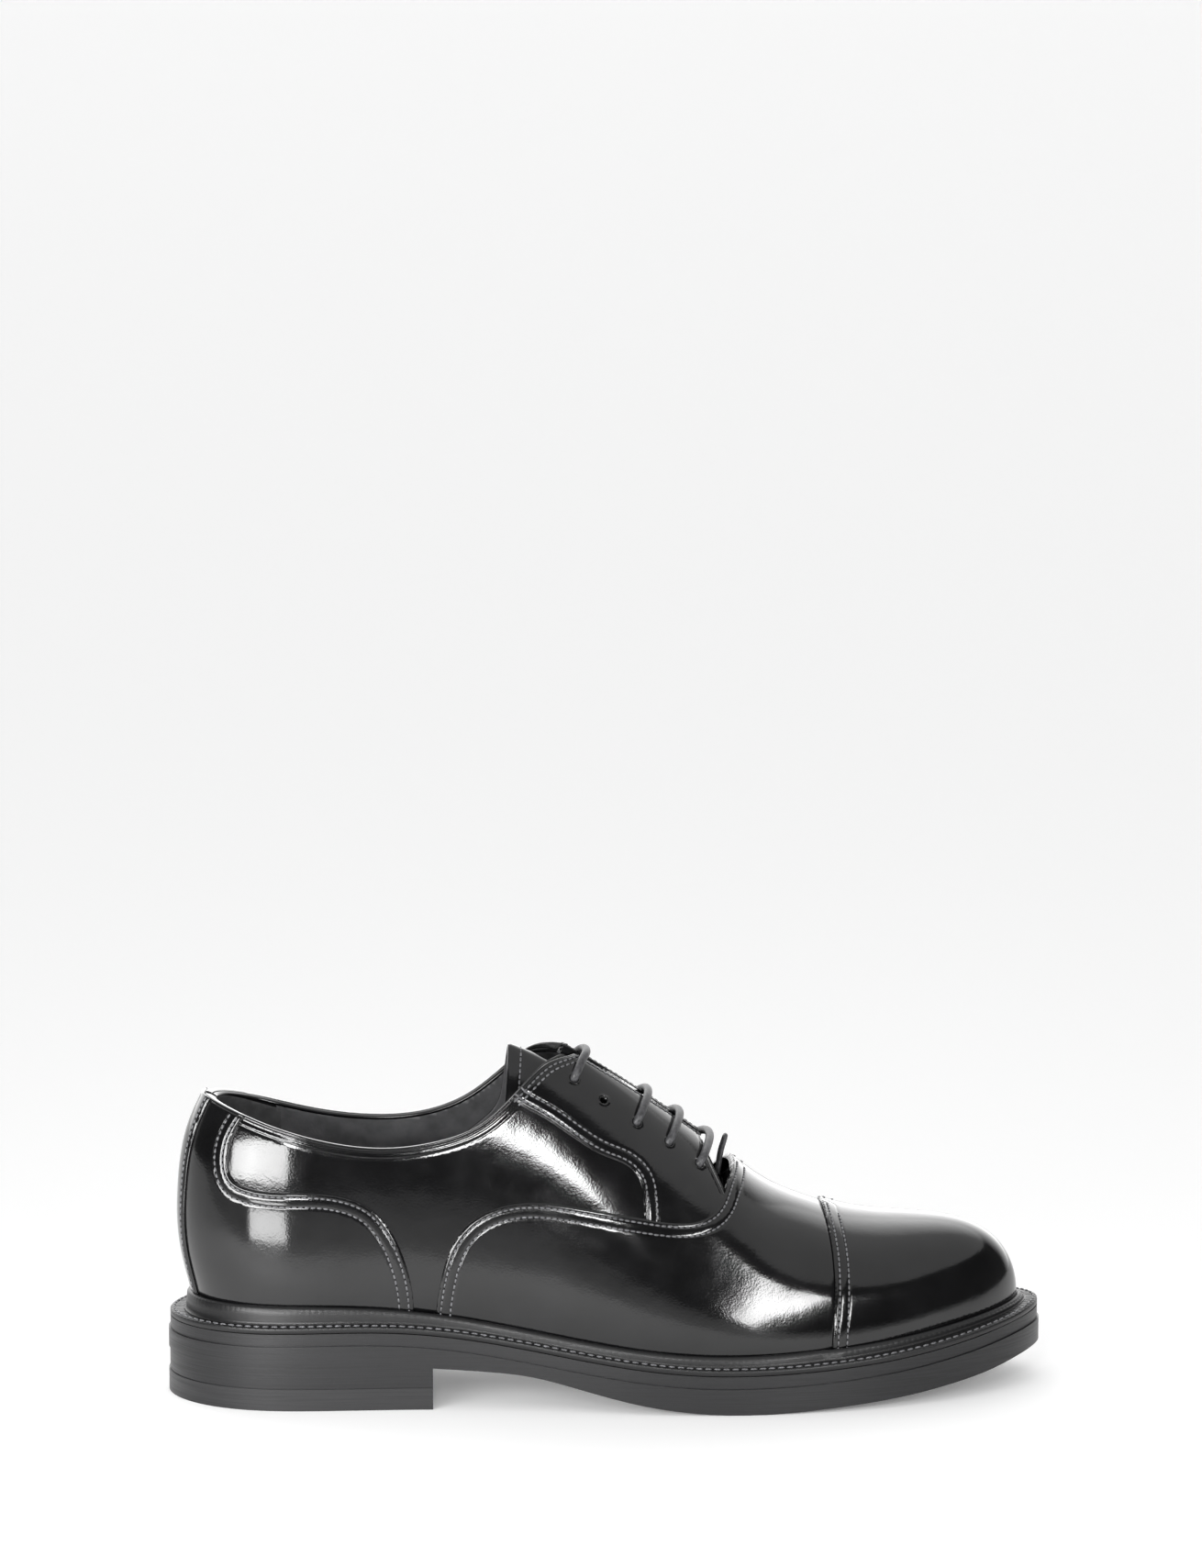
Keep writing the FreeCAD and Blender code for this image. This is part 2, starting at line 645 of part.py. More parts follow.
lace_rings = []
for name, flip in (("lateral", False), ("medial", True)):
    pieces["eyelets_" + name], rods, rings = eyelet_row(flip)
    lace_rings += rings
    for layer_name in ("quarter_", "facing_", "quarter_interlining_", "quarter_lining_"):
        pieces[layer_name + name] = pieces[layer_name + name].cut(rods)


def through(x, angle):
    """Where the lace's middle line stands under and over one eyelet."""
    low, out = eyelet_axis(x, angle)
    zero = D_LINING - LINING
    return low + out * (D_LACE_UNDER - zero), low + out * (D_LACE_OVER - zero)


def bar(row):
    """Route of the lace over the facings, from the outer side's eyelet to the other."""
    x, a = EYELETS[row]
    near_under, near_over = through(x, a)
    far_under, far_over = through(x, 180 - a)
    over = [(x + 2.4, a + 10), (x + 4.2, 84), (x + 4.2, 96), (x + 2.4, 170 - a)]
    middle = [place(u, v, D_LACE_OVER) for u, v in over]
    return [near_under, near_over] + middle + [far_over, far_under]


def below(*spots):
    """Points of the lace's route between lining and tongue."""
    return [place(x, angle, D_LACE_UNDER) for x, angle in spots]


LACE_ROUTE = (
    below((-32, 147), (-18, 142), (-5, 134), (6, 126))
    + bar(3)[::-1] + bar(4)
    + below((25, 109), (14.5, 109)) + bar(2)[::-1]
    + below((4, 73), (-7, 73)) + bar(0)
    + below((-7, 121), (-10, 129), (-20, 134), (-33, 138))
)


def rounded_wire(points):
    """Straight runs joined by tangent arcs, as large as the runs allow."""
    edges = []
    at = points[0]
    for before, corner, after in zip(points, points[1:], points[2:]):
        a = before - corner
        b = after - corner
        turn = math.pi - a.getAngle(b)
        cut = 0.45 * min(a.Length, b.Length)
        a.normalize()
        b.normalize()
        if turn < 0.02:
            continue
        first = corner + a * cut
        last_point = corner + b * cut
        bisector = a + b
        bisector.normalize()
        radius = cut / math.tan(turn / 2)
        centre = corner + bisector * (radius / math.cos(turn / 2))
        middle = centre - bisector * radius
        edges.append(Part.LineSegment(at, first).toShape())
        edges.append(Part.Arc(first, middle, last_point).toShape())
        at = last_point
    edges.append(Part.LineSegment(at, points[-1]).toShape())
    return Part.Wire(edges)


def tube(points, radius):
    wire = rounded_wire(points)
    heading = points[1] - points[0]
    section = Part.Wire([Part.makeCircle(radius, points[0], heading)])
    solid = wire.makePipeShell([section], True, True)
    print("tube", round(wire.Length, 1), "mm, volume ratio",
          round(solid.Volume / (math.pi * radius ** 2 * wire.Length), 3))
    return solid


route = LACE_ROUTE
pieces["lace"] = tube(route, LACE_RADIUS)
for ring in lace_rings:
    pieces["lace"] = pieces["lace"].cut(ring)
lace_space = tube(route, LACE_RADIUS + LACE_ROOM)
aglets = []
for tip_point, inner_point in ((route[0], route[1]), (route[-1], route[-2])):
    heading = tip_point - inner_point
    heading.normalize()
    start = tip_point - heading * (AGLET_LENGTH - 1.0)
    sleeve = Part.makeCylinder(AGLET_RADIUS, AGLET_LENGTH, start, heading)
    aglets.append(sleeve.cut(lace_space))
pieces["aglets"] = Part.makeCompound(aglets)
knot = Part.makeSphere(5.0, place(-7, 127.5, D_LACE_UNDER))
squeezed = knot.common(layer(D_TONGUE + 0.4, D_LINING - LINING - 0.3))
around_lace = squeezed.cut(lace_space).Solids
pieces["lace_knot"] = max(around_lace, key=lambda solid: solid.Volume)

# waxed thread loop that ties the two facings together at the throat
TACK = [(38.6, -2.4, 73.0), (39.6, -2.2, 80.5), (41.4, -1.3, 86.2), (41.4, 1.6, 86.2),
        (39.6, 2.6, 80.5), (38.6, 2.8, 73.0)]
lift_to_ridge = ridge_y(40.0)
pieces["throat_tack"] = tube([V(x, y + lift_to_ridge, z) for x, y, z in TACK], TACK_RADIUS)

# ================================================================ export
for name, shape in pieces.items():
    shape.exportStep("parts/" + name + ".step")
    print(name, shape.isValid(), round(shape.Volume), len(shape.Solids))
whole = Part.makeCompound(list(pieces.values()))
print("size", whole.BoundBox)
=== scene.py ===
"""Looks of the cap-toe oxford, built round its CAD frame.

Lengths are written in mm, in the frame's own axes, and meshes are made in metres.
+X runs to the toe, +Y to the inner side of the foot and +Z up.
"""

import bpy
import math

import numpy as np
from mathutils import Matrix, Vector
from mathutils.bvhtree import BVHTree
from mathutils.kdtree import KDTree


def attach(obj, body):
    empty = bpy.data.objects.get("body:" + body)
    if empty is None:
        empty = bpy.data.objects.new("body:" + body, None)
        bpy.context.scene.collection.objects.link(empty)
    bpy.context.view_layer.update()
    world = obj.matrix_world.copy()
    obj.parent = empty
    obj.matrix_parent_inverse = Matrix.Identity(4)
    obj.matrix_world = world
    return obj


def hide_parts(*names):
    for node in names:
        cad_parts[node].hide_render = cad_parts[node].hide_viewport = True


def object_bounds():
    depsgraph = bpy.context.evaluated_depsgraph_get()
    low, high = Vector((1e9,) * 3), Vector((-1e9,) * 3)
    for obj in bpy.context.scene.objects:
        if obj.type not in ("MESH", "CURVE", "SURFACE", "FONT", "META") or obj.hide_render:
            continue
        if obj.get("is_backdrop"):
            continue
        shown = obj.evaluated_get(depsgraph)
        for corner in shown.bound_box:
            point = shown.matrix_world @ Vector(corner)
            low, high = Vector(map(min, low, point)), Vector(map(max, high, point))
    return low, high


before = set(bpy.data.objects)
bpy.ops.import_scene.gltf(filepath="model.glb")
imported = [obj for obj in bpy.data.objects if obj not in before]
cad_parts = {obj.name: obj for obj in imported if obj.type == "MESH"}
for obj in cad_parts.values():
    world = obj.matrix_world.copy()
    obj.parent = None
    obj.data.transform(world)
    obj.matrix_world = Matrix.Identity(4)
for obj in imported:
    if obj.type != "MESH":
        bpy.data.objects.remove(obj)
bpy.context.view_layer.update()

MM = 0.001

# ---------------------------------------------------------------- curves of the last and sole
SOLE = [(-152, 1.5), (-146, -17), (-128, -31.5), (-98, -36), (-60, -36.5), (-25, -41.5),
        (8, -49), (40, -52), (74, -49.5), (104, -41), (130, -26.5), (147, -9), (152, 6),
        (147.5, 20), (133, 34.5), (106, 47), (78, 51.9), (48, 50.5), (14, 43), (-20, 37),
        (-60, 35.5), (-98, 36.5), (-128, 33.5), (-146, 20)]
RIM = [(-152, 28.6), (-110, 28.9), (-72, 28.6), (-46, 25.8), (-20, 21.6), (5, 17.9), (30, 15.8),
       (68, 16.4), (105, 19.6), (136, 24.4), (152, 27.2)]
BEAD = [(-152, 6.4), (-110, 6.0), (-60, 3.9), (0, 3.4), (80, 3.2), (152, 2.6)]
MARGIN = [(-152, 4.3), (-60, 5.7), (60, 6.6), (85, 8.4), (152, 8.9)]
RIDGE = [(143.1, 23.3), (142.8, 33), (140.2, 41), (135.2, 47.4), (127.4, 52), (114.6, 54.9),
         (98, 56.4), (83, 58.9), (70, 63.2), (58, 68.6), (48, 75.6), (34, 87), (16, 100.5),
         (-2, 113), (-22, 124.5), (-50, 133), (-85, 136), (-120, 137), (-152, 137)]
BACK = [(20, -139.2), (29, -141.8), (38.7, -144.2), (48.7, -146.5), (60, -147.7), (72, -147.4),
        (85, -145.8), (92, -144), (98.5, -141.4), (105, -138.2), (136, -123.2)]
LEAN = [(-150, 0), (-40, 0), (0, 1.5), (50, 4), (90, 5), (120, 4), (145, 0)]
FULLNESS = [(-150, 0), (-20, 0), (60, 0.04), (110, 0.10), (145, 0.12)]
TUCK = [(-150, 3), (-60, 3.5), (0, 3), (60, 2.5), (130, 2), (145, 1)]
BACK_CURVE_START = -60.0
WELT = 2.2
SOLE_STEP = 0.6

# panel edges seen from the side
TOPLINE_OUTER = [(-160, 108), (-141, 104.6), (-126, 99.5), (-99, 91.1), (-78, 88.4), (-60, 90.4),
                 (-44.8, 96.2), (-36.8, 102.5), (-28, 111), (-20.5, 116.3), (-14, 117.6), (-7, 118.5),
                 (0, 121)]
TOPLINE_INNER = [(-160, 108), (-141, 104.6), (-126, 100.6), (-99, 93.6), (-80, 91.5), (-64, 92.6),
                 (-48, 98.6), (-39, 105.6), (-31, 113.2), (-24.5, 118), (-18, 119.6), (-11, 119.8),
                 (0, 121)]
VAMP_EDGE = [(-61.5, 12), (-60.6, 31.5), (-58.9, 43), (-54.9, 55.3), (-47, 64.6), (-35.1, 69.6),
             (-10.4, 68.8), (10.2, 65.5), (22.9, 63.8), (31, 64.6), (36.6, 68), (40.2, 73.4),
             (44.4, 79.4), (52, 92)]
FACING_EDGE = [(-38, 110), (-33.3, 104.6), (-24.9, 99.7), (-11.9, 91.2), (-2.5, 86), (5.3, 82.6),
               (8.9, 78.6), (10.1, 73), (10.2, 60)]
FOXING_EDGE = [(-121, 107), (-125.8, 99.5), (-130.3, 91.6), (-131.8, 83.5), (-130, 78),
               (-124, 75.2), (-105.4, 74), (-93.2, 72.6), (-83.5, 68.6), (-76, 60.6), (-71.4, 50.4),
               (-69, 41.1), (-68, 30), (-67.8, 8)]
FRONT_EDGE = [(26, 98), (32.4, 87.4), (34.9, 80.6), (37.9, 74.1), (42, 64)]
CAP_EDGE = [(74.2, 8), (74.8, 24), (75.7, 38), (76, 50), (75.2, 60), (74, 72)]
TONGUE_TOP = [(-46, 88), (-37.5, 97), (-35.6, 106), (-34.6, 116), (-33.4, 130)]
TONGUE_HALF_WIDTH = [(-40, 24), (0, 21), (41, 14)]
TONGUE_FRONT = 41.0
LACE_GAP = [(-20, 5.4), (0, 4.8), (20, 4.0), (40, 3.0)]
EYELETS = [(-12.4, 66), (-2.4, 64), (8.9, 63), (19.9, 63), (30.4, 62)]

# height of each skin above the vamp's outer face
ON_VAMP = 0.0
ON_CAP = 1.1
ON_FACING = -0.3
ON_QUARTER = -1.1
ON_LINING = -4.3
ON_TONGUE = -8.3
ON_LACE = 1.6
UNDER_LACE = -6.3

# thickness of each leather
QUARTER = 1.2
OVERLAY = 1.1
FACING = 0.9
VAMP = 2.3
LINING = 1.0
GRIP = 1.25
TONGUE = 1.3

# overlaps and holes
VAMP_ON_QUARTER = 8.0
VAMP_ON_LINING = 4.0
VAMP_ON_FACING = 2.0
CAP_ON_VAMP = 12.0
UNDER_WELT = 3.0
FACING_HOLE = 1.3
QUARTER_HOLE = 2.0
LINING_HOLE = 2.1
LACE_RADIUS = 1.45


# ================================================================ smooth curves
def second_derivatives(t, y):
    n = len(t)
    gap = np.diff(t)
    matrix = np.eye(n)
    right = np.zeros(n)
    for i in range(1, n - 1):
        matrix[i, i - 1] = gap[i - 1] / 6
        matrix[i, i] = (gap[i - 1] + gap[i]) / 3
        matrix[i, i + 1] = gap[i] / 6
        right[i] = (y[i + 1] - y[i]) / gap[i] - (y[i] - y[i - 1]) / gap[i - 1]
    return np.linalg.solve(matrix, right)


def cubic(t, y, m, at):
    i = np.clip(np.searchsorted(t, at, side="right") - 1, 0, len(t) - 2)
    gap = t[i + 1] - t[i]
    a = (t[i + 1] - at) / gap
    b = (at - t[i]) / gap
    bend = ((a ** 3 - a) * m[i] + (b ** 3 - b) * m[i + 1]) * gap * gap / 6
    return a * y[i] + b * y[i + 1] + bend


def graph(points):
    """A smooth function through (x, value) points, level beyond its ends."""
    t, y = np.array(points, float).T
    m = second_derivatives(t, y)
    return lambda x: cubic(t, y, m, np.clip(x, t[0], t[-1]))


class Path:
    """A smooth plane curve through points, measured along its chords."""

    def __init__(self, points, closed=False):
        ring = np.array(points, float)
        lap = 5 if closed else 0
        if closed:
            ring = np.vstack([ring[-lap:], ring, ring[:lap + 1]])
        steps = np.hypot(*np.diff(ring, axis=0).T)
        self.t = np.concatenate([[0], np.cumsum(steps)])
        self.axes = [(y, second_derivatives(self.t, y)) for y in ring.T]
        self.start = self.t[lap]
        self.end = self.t[lap + len(points)] if closed else self.t[-1]

    def at(self, t):
        return np.stack([cubic(self.t, y, m, np.asarray(t, float)) for y, m in self.axes], -1)

    def shifted(self, t, distance):
        """Points moved to the left of the direction of travel."""
        here = self.at(t)
        step = self.at(np.asarray(t, float) + 0.01) - here
        step /= np.linalg.norm(step, axis=-1, keepdims=True)
        left = np.stack([-step[..., 1], step[..., 0]], -1)
        return here + left * np.asarray(distance)[..., None]

    def dense(self, spacing=0.3):
        return self.at(np.linspace(self.start, self.end, int((self.end - self.start) / spacing) + 2))


rim = graph(RIM)
bead = graph(BEAD)
margin = graph(MARGIN)
back = graph(BACK)
lean = graph(LEAN)
fullness = graph(FULLNESS)
tuck = graph(TUCK)
lace_gap = graph(LACE_GAP)
tongue_half = graph(TONGUE_HALF_WIDTH)
sole = Path(SOLE, closed=True)
ridge = Path(RIDGE)


def feather(x):
    return rim(x) - WELT


def crest(x):
    return rim(x) + bead(x)


def bisect(f, low, high):
    """Places between low and high where a rising f crosses zero."""
    low = np.array(low, float)
    high = np.array(high, float)
    for _ in range(45):
        middle = (low + high) / 2
        above = f(middle) > 0
        high = np.where(above, middle, high)
        low = np.where(above, low, middle)
    return (low + high) / 2


# ================================================================ the upper's outer skin
class Last:
    """Foot form: every place is (u, angle), u from heel 0 to toe 1, angle 0 outer to 180 inner."""

    HEEL = 0.22
    TOE = 0.72

    def __init__(self):
        turn = sole.end - sole.start
        t = np.linspace(sole.start - turn / 4, sole.end, 40001)[:-1]
        outline = self.outline(t)
        tip = np.argmax(outline[:, 0])
        first = np.argmin(outline[:tip, 0])
        self.t_back = t[first]
        self.t_tip = t[tip]
        self.x_back = outline[first, 0]
        self.x_tip = outline[tip, 0]
        outer = self.outline(np.linspace(self.t_back, self.t_tip, 20001))
        inner = self.outline(np.linspace(self.t_tip, self.t_back + turn, 20001))[::-1]
        self.u = np.linspace(0, 1, 6001)
        self.x = self.station(self.u)
        ridge_line = ridge.at(np.linspace(-3.0, ridge.end, 20001))[::-1]
        low = np.interp(self.x, outer[:, 0], outer[:, 1])
        high = np.interp(self.x, inner[:, 0], inner[:, 1])
        low[0] = high[0] = outer[0, 1]
        low[-1] = high[-1] = outer[-1, 1]
        self.mid = (low + high) / 2
        self.half = (high - low) / 2
        self.foot = feather(self.x)
        self.height = np.maximum(np.interp(self.x, ridge_line[:, 0], ridge_line[:, 1]) - self.foot, 0)
        self.height[-1] = 0

    @staticmethod
    def outline(t):
        x = sole.at(t)[:, 0]
        return sole.shifted(t, margin(x))

    def station(self, u):
        """Place along the shoe, stepping closer together towards both ends."""
        a, b = -100.0, 88.0
        heel = self.x_back + (a - self.x_back) * (1 - np.cos(math.pi / 2 * u / self.HEEL))
        waist = a + (b - a) * (u - self.HEEL) / (self.TOE - self.HEEL)
        toe = b + (self.x_tip - b) * np.sin(math.pi / 2 * (u - self.TOE) / (1 - self.TOE))
        return np.where(u < self.HEEL, heel, np.where(u < self.TOE, waist, toe))

    def sizes(self, u):
        return [np.interp(u, self.u, v) for v in (self.x, self.mid, self.half, self.foot, self.height)]

    def place(self, u, angle):
        x, mid, half, foot, height = self.sizes(u)
        c = np.cos(np.radians(angle))
        s = np.sin(np.radians(angle))
        rise = s * (1 + fullness(x) * c * c)
        z = foot + height * rise
        inward = tuck(x) * (1 - s) ** 4 * np.minimum(half / 30, 1)
        y = mid + lean(x) * rise ** 2 - half * c * (1 + fullness(x) * s * s)
        y = y + np.where(c > 0, inward, -inward)
        near = np.maximum(0, (BACK_CURVE_START - x) / (BACK_CURVE_START - self.x_back))
        shift = np.where(near > 0, back(z) - self.x_back, 0)
        return np.stack([x + shift * near ** 2, y, z], -1)

    def normal(self, u, angle):
        e = 0.0015
        u = np.minimum(u, 0.996)
        along = self.place(np.minimum(u + e, 1), angle) - self.place(np.maximum(u - e, 0), angle)
        around = self.place(u, np.minimum(angle + 0.4, 180)) - self.place(u, np.maximum(angle - 0.4, 0))
        out = np.cross(along, around)
        return out / np.linalg.norm(out, axis=-1, keepdims=True)

    def ridge_y(self, x):
        u = np.interp(x, self.x, self.u)
        return self.place(u, np.full_like(u, 90.0))[..., 1]

    def from_side(self, points, inner):
        """(u, angle) of points seen from one side; those off the shoe are dropped."""
        x, z = np.asarray(points, float).T
        room = BACK_CURVE_START - self.x_back

        def moved(s):
            near = np.maximum(0, (BACK_CURVE_START - s) / room)
            return s + (back(z) - self.x_back) * near ** 2 - x

        station = bisect(moved, np.full_like(x, self.x_back), np.full_like(x, self.x_tip))
        u = np.interp(station, self.x, self.u)
        _, _, _, foot, height = self.sizes(u)
        rise = (z - foot) / np.maximum(height, 1e-6)
        full = fullness(station)

        def over(a):
            c = np.cos(np.radians(a))
            return np.sin(np.radians(a)) * (1 + full * c * c) - rise

        angle = bisect(over, np.zeros_like(x), np.full_like(x, 90.0))
        good = (rise <= 1.0) & (rise >= -0.02) & (np.abs(moved(station)) < 0.05)
        angle = 180 - angle if inner else angle
        return u[good], angle[good]


last = Last()


# ================================================================ sheets cut from the skin
class Sheet:
    """Triangles on the last, each corner with its (u, angle) and any number of fields."""

    def __init__(self, fields, tri):
        self.f = fields
        self.tri = tri

    @staticmethod
    def whole(u0=0.0, u1=1.0, a0=0.0, a1=180.0, rows=330, columns=210):
        us = np.linspace(0, 1, rows)
        us = us[(us >= u0 - 1e-9) & (us <= u1 + 1e-9)]
        angles = np.linspace(0, 180, columns)
        angles = angles[(angles >= a0 - 1e-9) & (angles <= a1 + 1e-9)]
        u, a = np.meshgrid(us, angles, indexing="ij")
        index = np.arange(u.size).reshape(u.shape)
        p, q = index[:-1, :-1].ravel(), index[1:, :-1].ravel()
        r, s = index[1:, 1:].ravel(), index[:-1, 1:].ravel()
        tri = np.vstack([np.stack([p, q, r], 1), np.stack([p, r, s], 1)])
        return Sheet({"u": u.ravel(), "a": a.ravel()}, tri)

    def points(self):
        return last.place(self.f["u"], self.f["a"])

    def normals(self):
        return last.normal(self.f["u"], self.f["a"])

    def cut(self, values, level=0.0, keep=True, snap=0.03):
        """Splits triangles where values cross a level, and keeps those above it if asked."""
        v = np.array(values, float) - level
        v[np.abs(v) < snap] = 0
        self.f["_v"] = v
        sign = np.sign(v)[self.tri]
        mixed = (sign > 0).any(1) & (sign < 0).any(1)
        parts = [self.tri[~mixed]]
        tri = self.tri[mixed]
        sign = sign[mixed]
        if len(tri):
            through = (sign == 0).any(1)
            first = np.argmax(sign[through] == 0, 1)
            touch = self.turned(tri[through], first)
            total = sign[~through].sum(1)
            lone = np.argmax(sign[~through] == -np.sign(total)[:, None], 1)
            three = self.turned(tri[~through], lone)
            pairs = np.vstack([touch[:, [1, 2]], three[:, [0, 1]], three[:, [0, 2]]])
            pairs.sort(axis=1)
            unique, at = np.unique(pairs, axis=0, return_inverse=True)
            at = at.ravel() + len(v)
            i, j = unique.T
            share = v[i] / (v[i] - v[j])
            for key, field in self.f.items():
                new = field[i] + share * (field[j] - field[i])
                self.f[key] = np.concatenate([field, new])
            self.f["_v"][len(v):] = 0
            n, k = len(touch), len(three)
            m = at[:n]
            m1, m2 = at[n:n + k], at[n + k:]
            z, p, q = touch.T
            parts += [np.stack([z, p, m], 1), np.stack([z, m, q], 1)]
            o, p, q = three.T
            parts += [np.stack([o, m1, m2], 1), np.stack([m1, p, q], 1), np.stack([m1, q, m2], 1)]
        self.tri = np.vstack(parts)
        if keep:
            self.tri = self.tri[self.f["_v"][self.tri].sum(1) > 0]
            self.drop_unused()
        return self

    @staticmethod
    def turned(tri, first):
        rows = np.arange(len(tri))[:, None]
        return tri[rows, (first[:, None] + np.arange(3)) % 3]

    def drop_unused(self):
        used = np.unique(self.tri)
        index = np.zeros(len(self.f["u"]), int)
        index[used] = np.arange(len(used))
        self.tri = index[self.tri]
        self.f = {k: v[used] for k, v in self.f.items()}

    def rim_edges(self):
        """Directed edges that only one triangle has."""
        edges = np.vstack([self.tri[:, [0, 1]], self.tri[:, [1, 2]], self.tri[:, [2, 0]]])
        ordered = np.sort(edges, 1)
        _, at, count = np.unique(ordered, axis=0, return_inverse=True, return_counts=True)
        return edges[count[at.ravel()] == 1]


def side_distance(points, path):
    """Signed distance in side view from a curve, positive to the right of its travel."""
    line = path.dense(1.0)
    a, b = line[:-1], line[1:]
    step = b - a
    length = (step ** 2).sum(1)
    best = np.full(len(points), 1e18)
    sign = np.zeros(len(points))
    for start, run, size2 in zip(a, step, length):
        away = points - start
        share = np.clip(away @ run / size2, 0, 1)
        gap = away - share[:, None] * run
        d2 = (gap ** 2).sum(1)
        nearer = d2 < best - 1e-9
        best[nearer] = d2[nearer]
        turn = run[0] * away[:, 1] - run[1] * away[:, 0]
        sign[nearer] = -np.sign(turn[nearer])
    return np.sqrt(best) * np.where(sign == 0, 1, sign)


def extended(points, at_start=0.0, at_end=0.0):
    """A curve with straight runs added at its ends."""
    p = [np.array(q, float) for q in points]
    if at_start:
        step = p[0] - p[1]
        p.insert(0, p[0] + step / np.linalg.norm(step) * at_start)
    if at_end:
        step = p[-1] - p[-2]
        p.append(p[-1] + step / np.linalg.norm(step) * at_end)
    return Path(p)


EDGES = {
    "topline_outer": Path(TOPLINE_OUTER),
    "topline_inner": Path(TOPLINE_INNER),
    "vamp": extended(VAMP_EDGE, 12, 30),
    "facing": extended(FACING_EDGE, 20, 20),
    "foxing": extended(FOXING_EDGE, 20, 12),
    "front": extended(FRONT_EDGE, 20, 20),
    "cap": extended(CAP_EDGE, 10, 30),
    "tongue": extended(TONGUE_TOP, 30, 20),
}


def beyond(sheet, name):
    """Side-view distance of a sheet's corners to the right of a named edge."""
    return side_distance(sheet.points()[:, [0, 2]], EDGES[name])


CHAIN_STEP = 0.25


def side_chain(name, inner):
    """(u, angle) points along a named edge on one side of the shoe."""
    line = EDGES[name].dense(CHAIN_STEP)
    u, a = last.from_side(line, inner)
    return np.stack([u, a], -1)


def over_ridge(name):
    """Chain of an edge that crosses the ridge from the outer to the inner side."""
    outer = side_chain(name, False)
    inner = side_chain(name, True)[::-1]
    return np.vstack([outer, inner])


def on_skin(chain, height=0.0):
    p = last.place(chain[:, 0], chain[:, 1])
    return p + last.normal(chain[:, 0], chain[:, 1]) * np.asarray(height)[..., None]


def distance_to(points, chains, limit=9.0):
    """Distance from each point to the nearest point of some chains."""
    target = np.vstack([on_skin(c) for c in chains])
    tree = KDTree(len(target))
    for i, p in enumerate(target):
        tree.insert(p, i)
    tree.balance()
    low, high = target.min(0) - limit, target.max(0) + limit
    near = ((points > low) & (points < high)).all(1)
    out = np.full(len(points), limit)
    for i in np.flatnonzero(near):
        out[i] = min(tree.find(points[i])[2], limit)
    return out


STITCH_ROWS = (1.6, 4.9)
TOPLINE_ROWS = (1.6, 3.4)
LACING_ROWS = (1.6,)
BACKSTAY_ROWS = (1.5,)
RING_LEVELS = (0.35, 0.9, 1.5)
RING_RISE = 0.32
HOLE_SINK = 0.5
FACING_BACK = -36.0
EDGE_ROUND = 0.45
PUFF = 0.04


def seam_profile(d, rows, roll=0.4, groove=0.14, width=0.4):
    """Height of a panel near its edge: a rounded edge, then a furrow under each stitch row."""
    height = -roll * np.exp(-(d / EDGE_ROUND) ** 2)
    for row in rows:
        height -= groove * np.exp(-((d - row) / width) ** 2)
    if len(rows) == 2:
        middle = (rows[0] + rows[1]) / 2
        height += PUFF * np.exp(-(d - middle) ** 2)
    return height


def refine_near(sheet, chains, rows):
    """Adds lines of corners along an edge so that its rounding and furrows are real shape."""
    levels = [0.25, 0.6, 1.0]
    for row in rows:
        levels += [row - 0.5, row - 0.2, row + 0.2, row + 0.5]
    if len(rows) == 2:
        levels += [rows[0] + 1.2, rows[1] - 1.2]
    levels.append((rows[-1] if rows else 1.0) + 1.3)
    for level in sorted(set(levels)):
        sheet.cut(distance_to(sheet.points(), chains), level, keep=False, snap=0.04)


def edge_relief(sheet, chains, rows, **shape):
    """Height of a sheet's corners beside some of its edges."""
    return seam_profile(distance_to(sheet.points(), chains), rows, **shape)


def mesh_object(name, points, faces, material, smooth=True):
    mesh = bpy.data.meshes.new(name)
    corners = faces if isinstance(faces, list) else faces.tolist()
    mesh.from_pydata((np.asarray(points) * MM).tolist(), [], corners)
    mesh.materials.append(material)
    if smooth:
        mesh.shade_smooth()
    piece = bpy.data.objects.new(name, mesh)
    bpy.context.scene.collection.objects.link(piece)
    return piece


def solid_sheet(name, sheet, height, thickness, material, relief=None):
    """Closed sheet of leather: outer face with its relief, inner face and edges."""
    p = sheet.points()
    n = sheet.normals()
    top = height + (0 if relief is None else relief)
    outer = p + n * np.broadcast_to(top, len(p))[:, None]
    inner = p + n * (height - thickness)
    count = len(p)
    rim_edges = sheet.rim_edges()
    on_back = (sheet.f["u"][rim_edges] == 0).all(1)
    i, j = rim_edges[~on_back].T
    wall = [np.stack([j, i, i + count], 1), np.stack([j, i + count, j + count], 1)]
    faces = np.vstack([sheet.tri, sheet.tri[:, ::-1] + count] + wall)
    if on_back.any() and sheet.f["a"].min() < 90 < sheet.f["a"].max():
        faces = joined_at_back(np.vstack([outer, inner]), faces, sheet.f["u"])
    return mesh_object(name, np.vstack([outer, inner]), faces, material)


def joined_at_back(points, faces, u):
    """Joins the two halves of a sheet along the back of the heel, where they meet."""
    back_line = np.flatnonzero(np.tile(u == 0, 2))
    spots = np.round(points[back_line], 3)
    _, first, which = np.unique(spots, axis=0, return_index=True, return_inverse=True)
    index = np.arange(len(points))
    index[back_line] = back_line[first][which.ravel()]
    return index[faces]


# ================================================================ materials
def nodes_of(name):
    material = bpy.data.materials.new(name)
    material.use_nodes = True
    tree = material.node_tree
    shader = tree.nodes["Principled BSDF"]
    return material, tree, shader


def link(tree, a, out, b, into):
    tree.links.new(a.outputs[out], b.inputs[into])


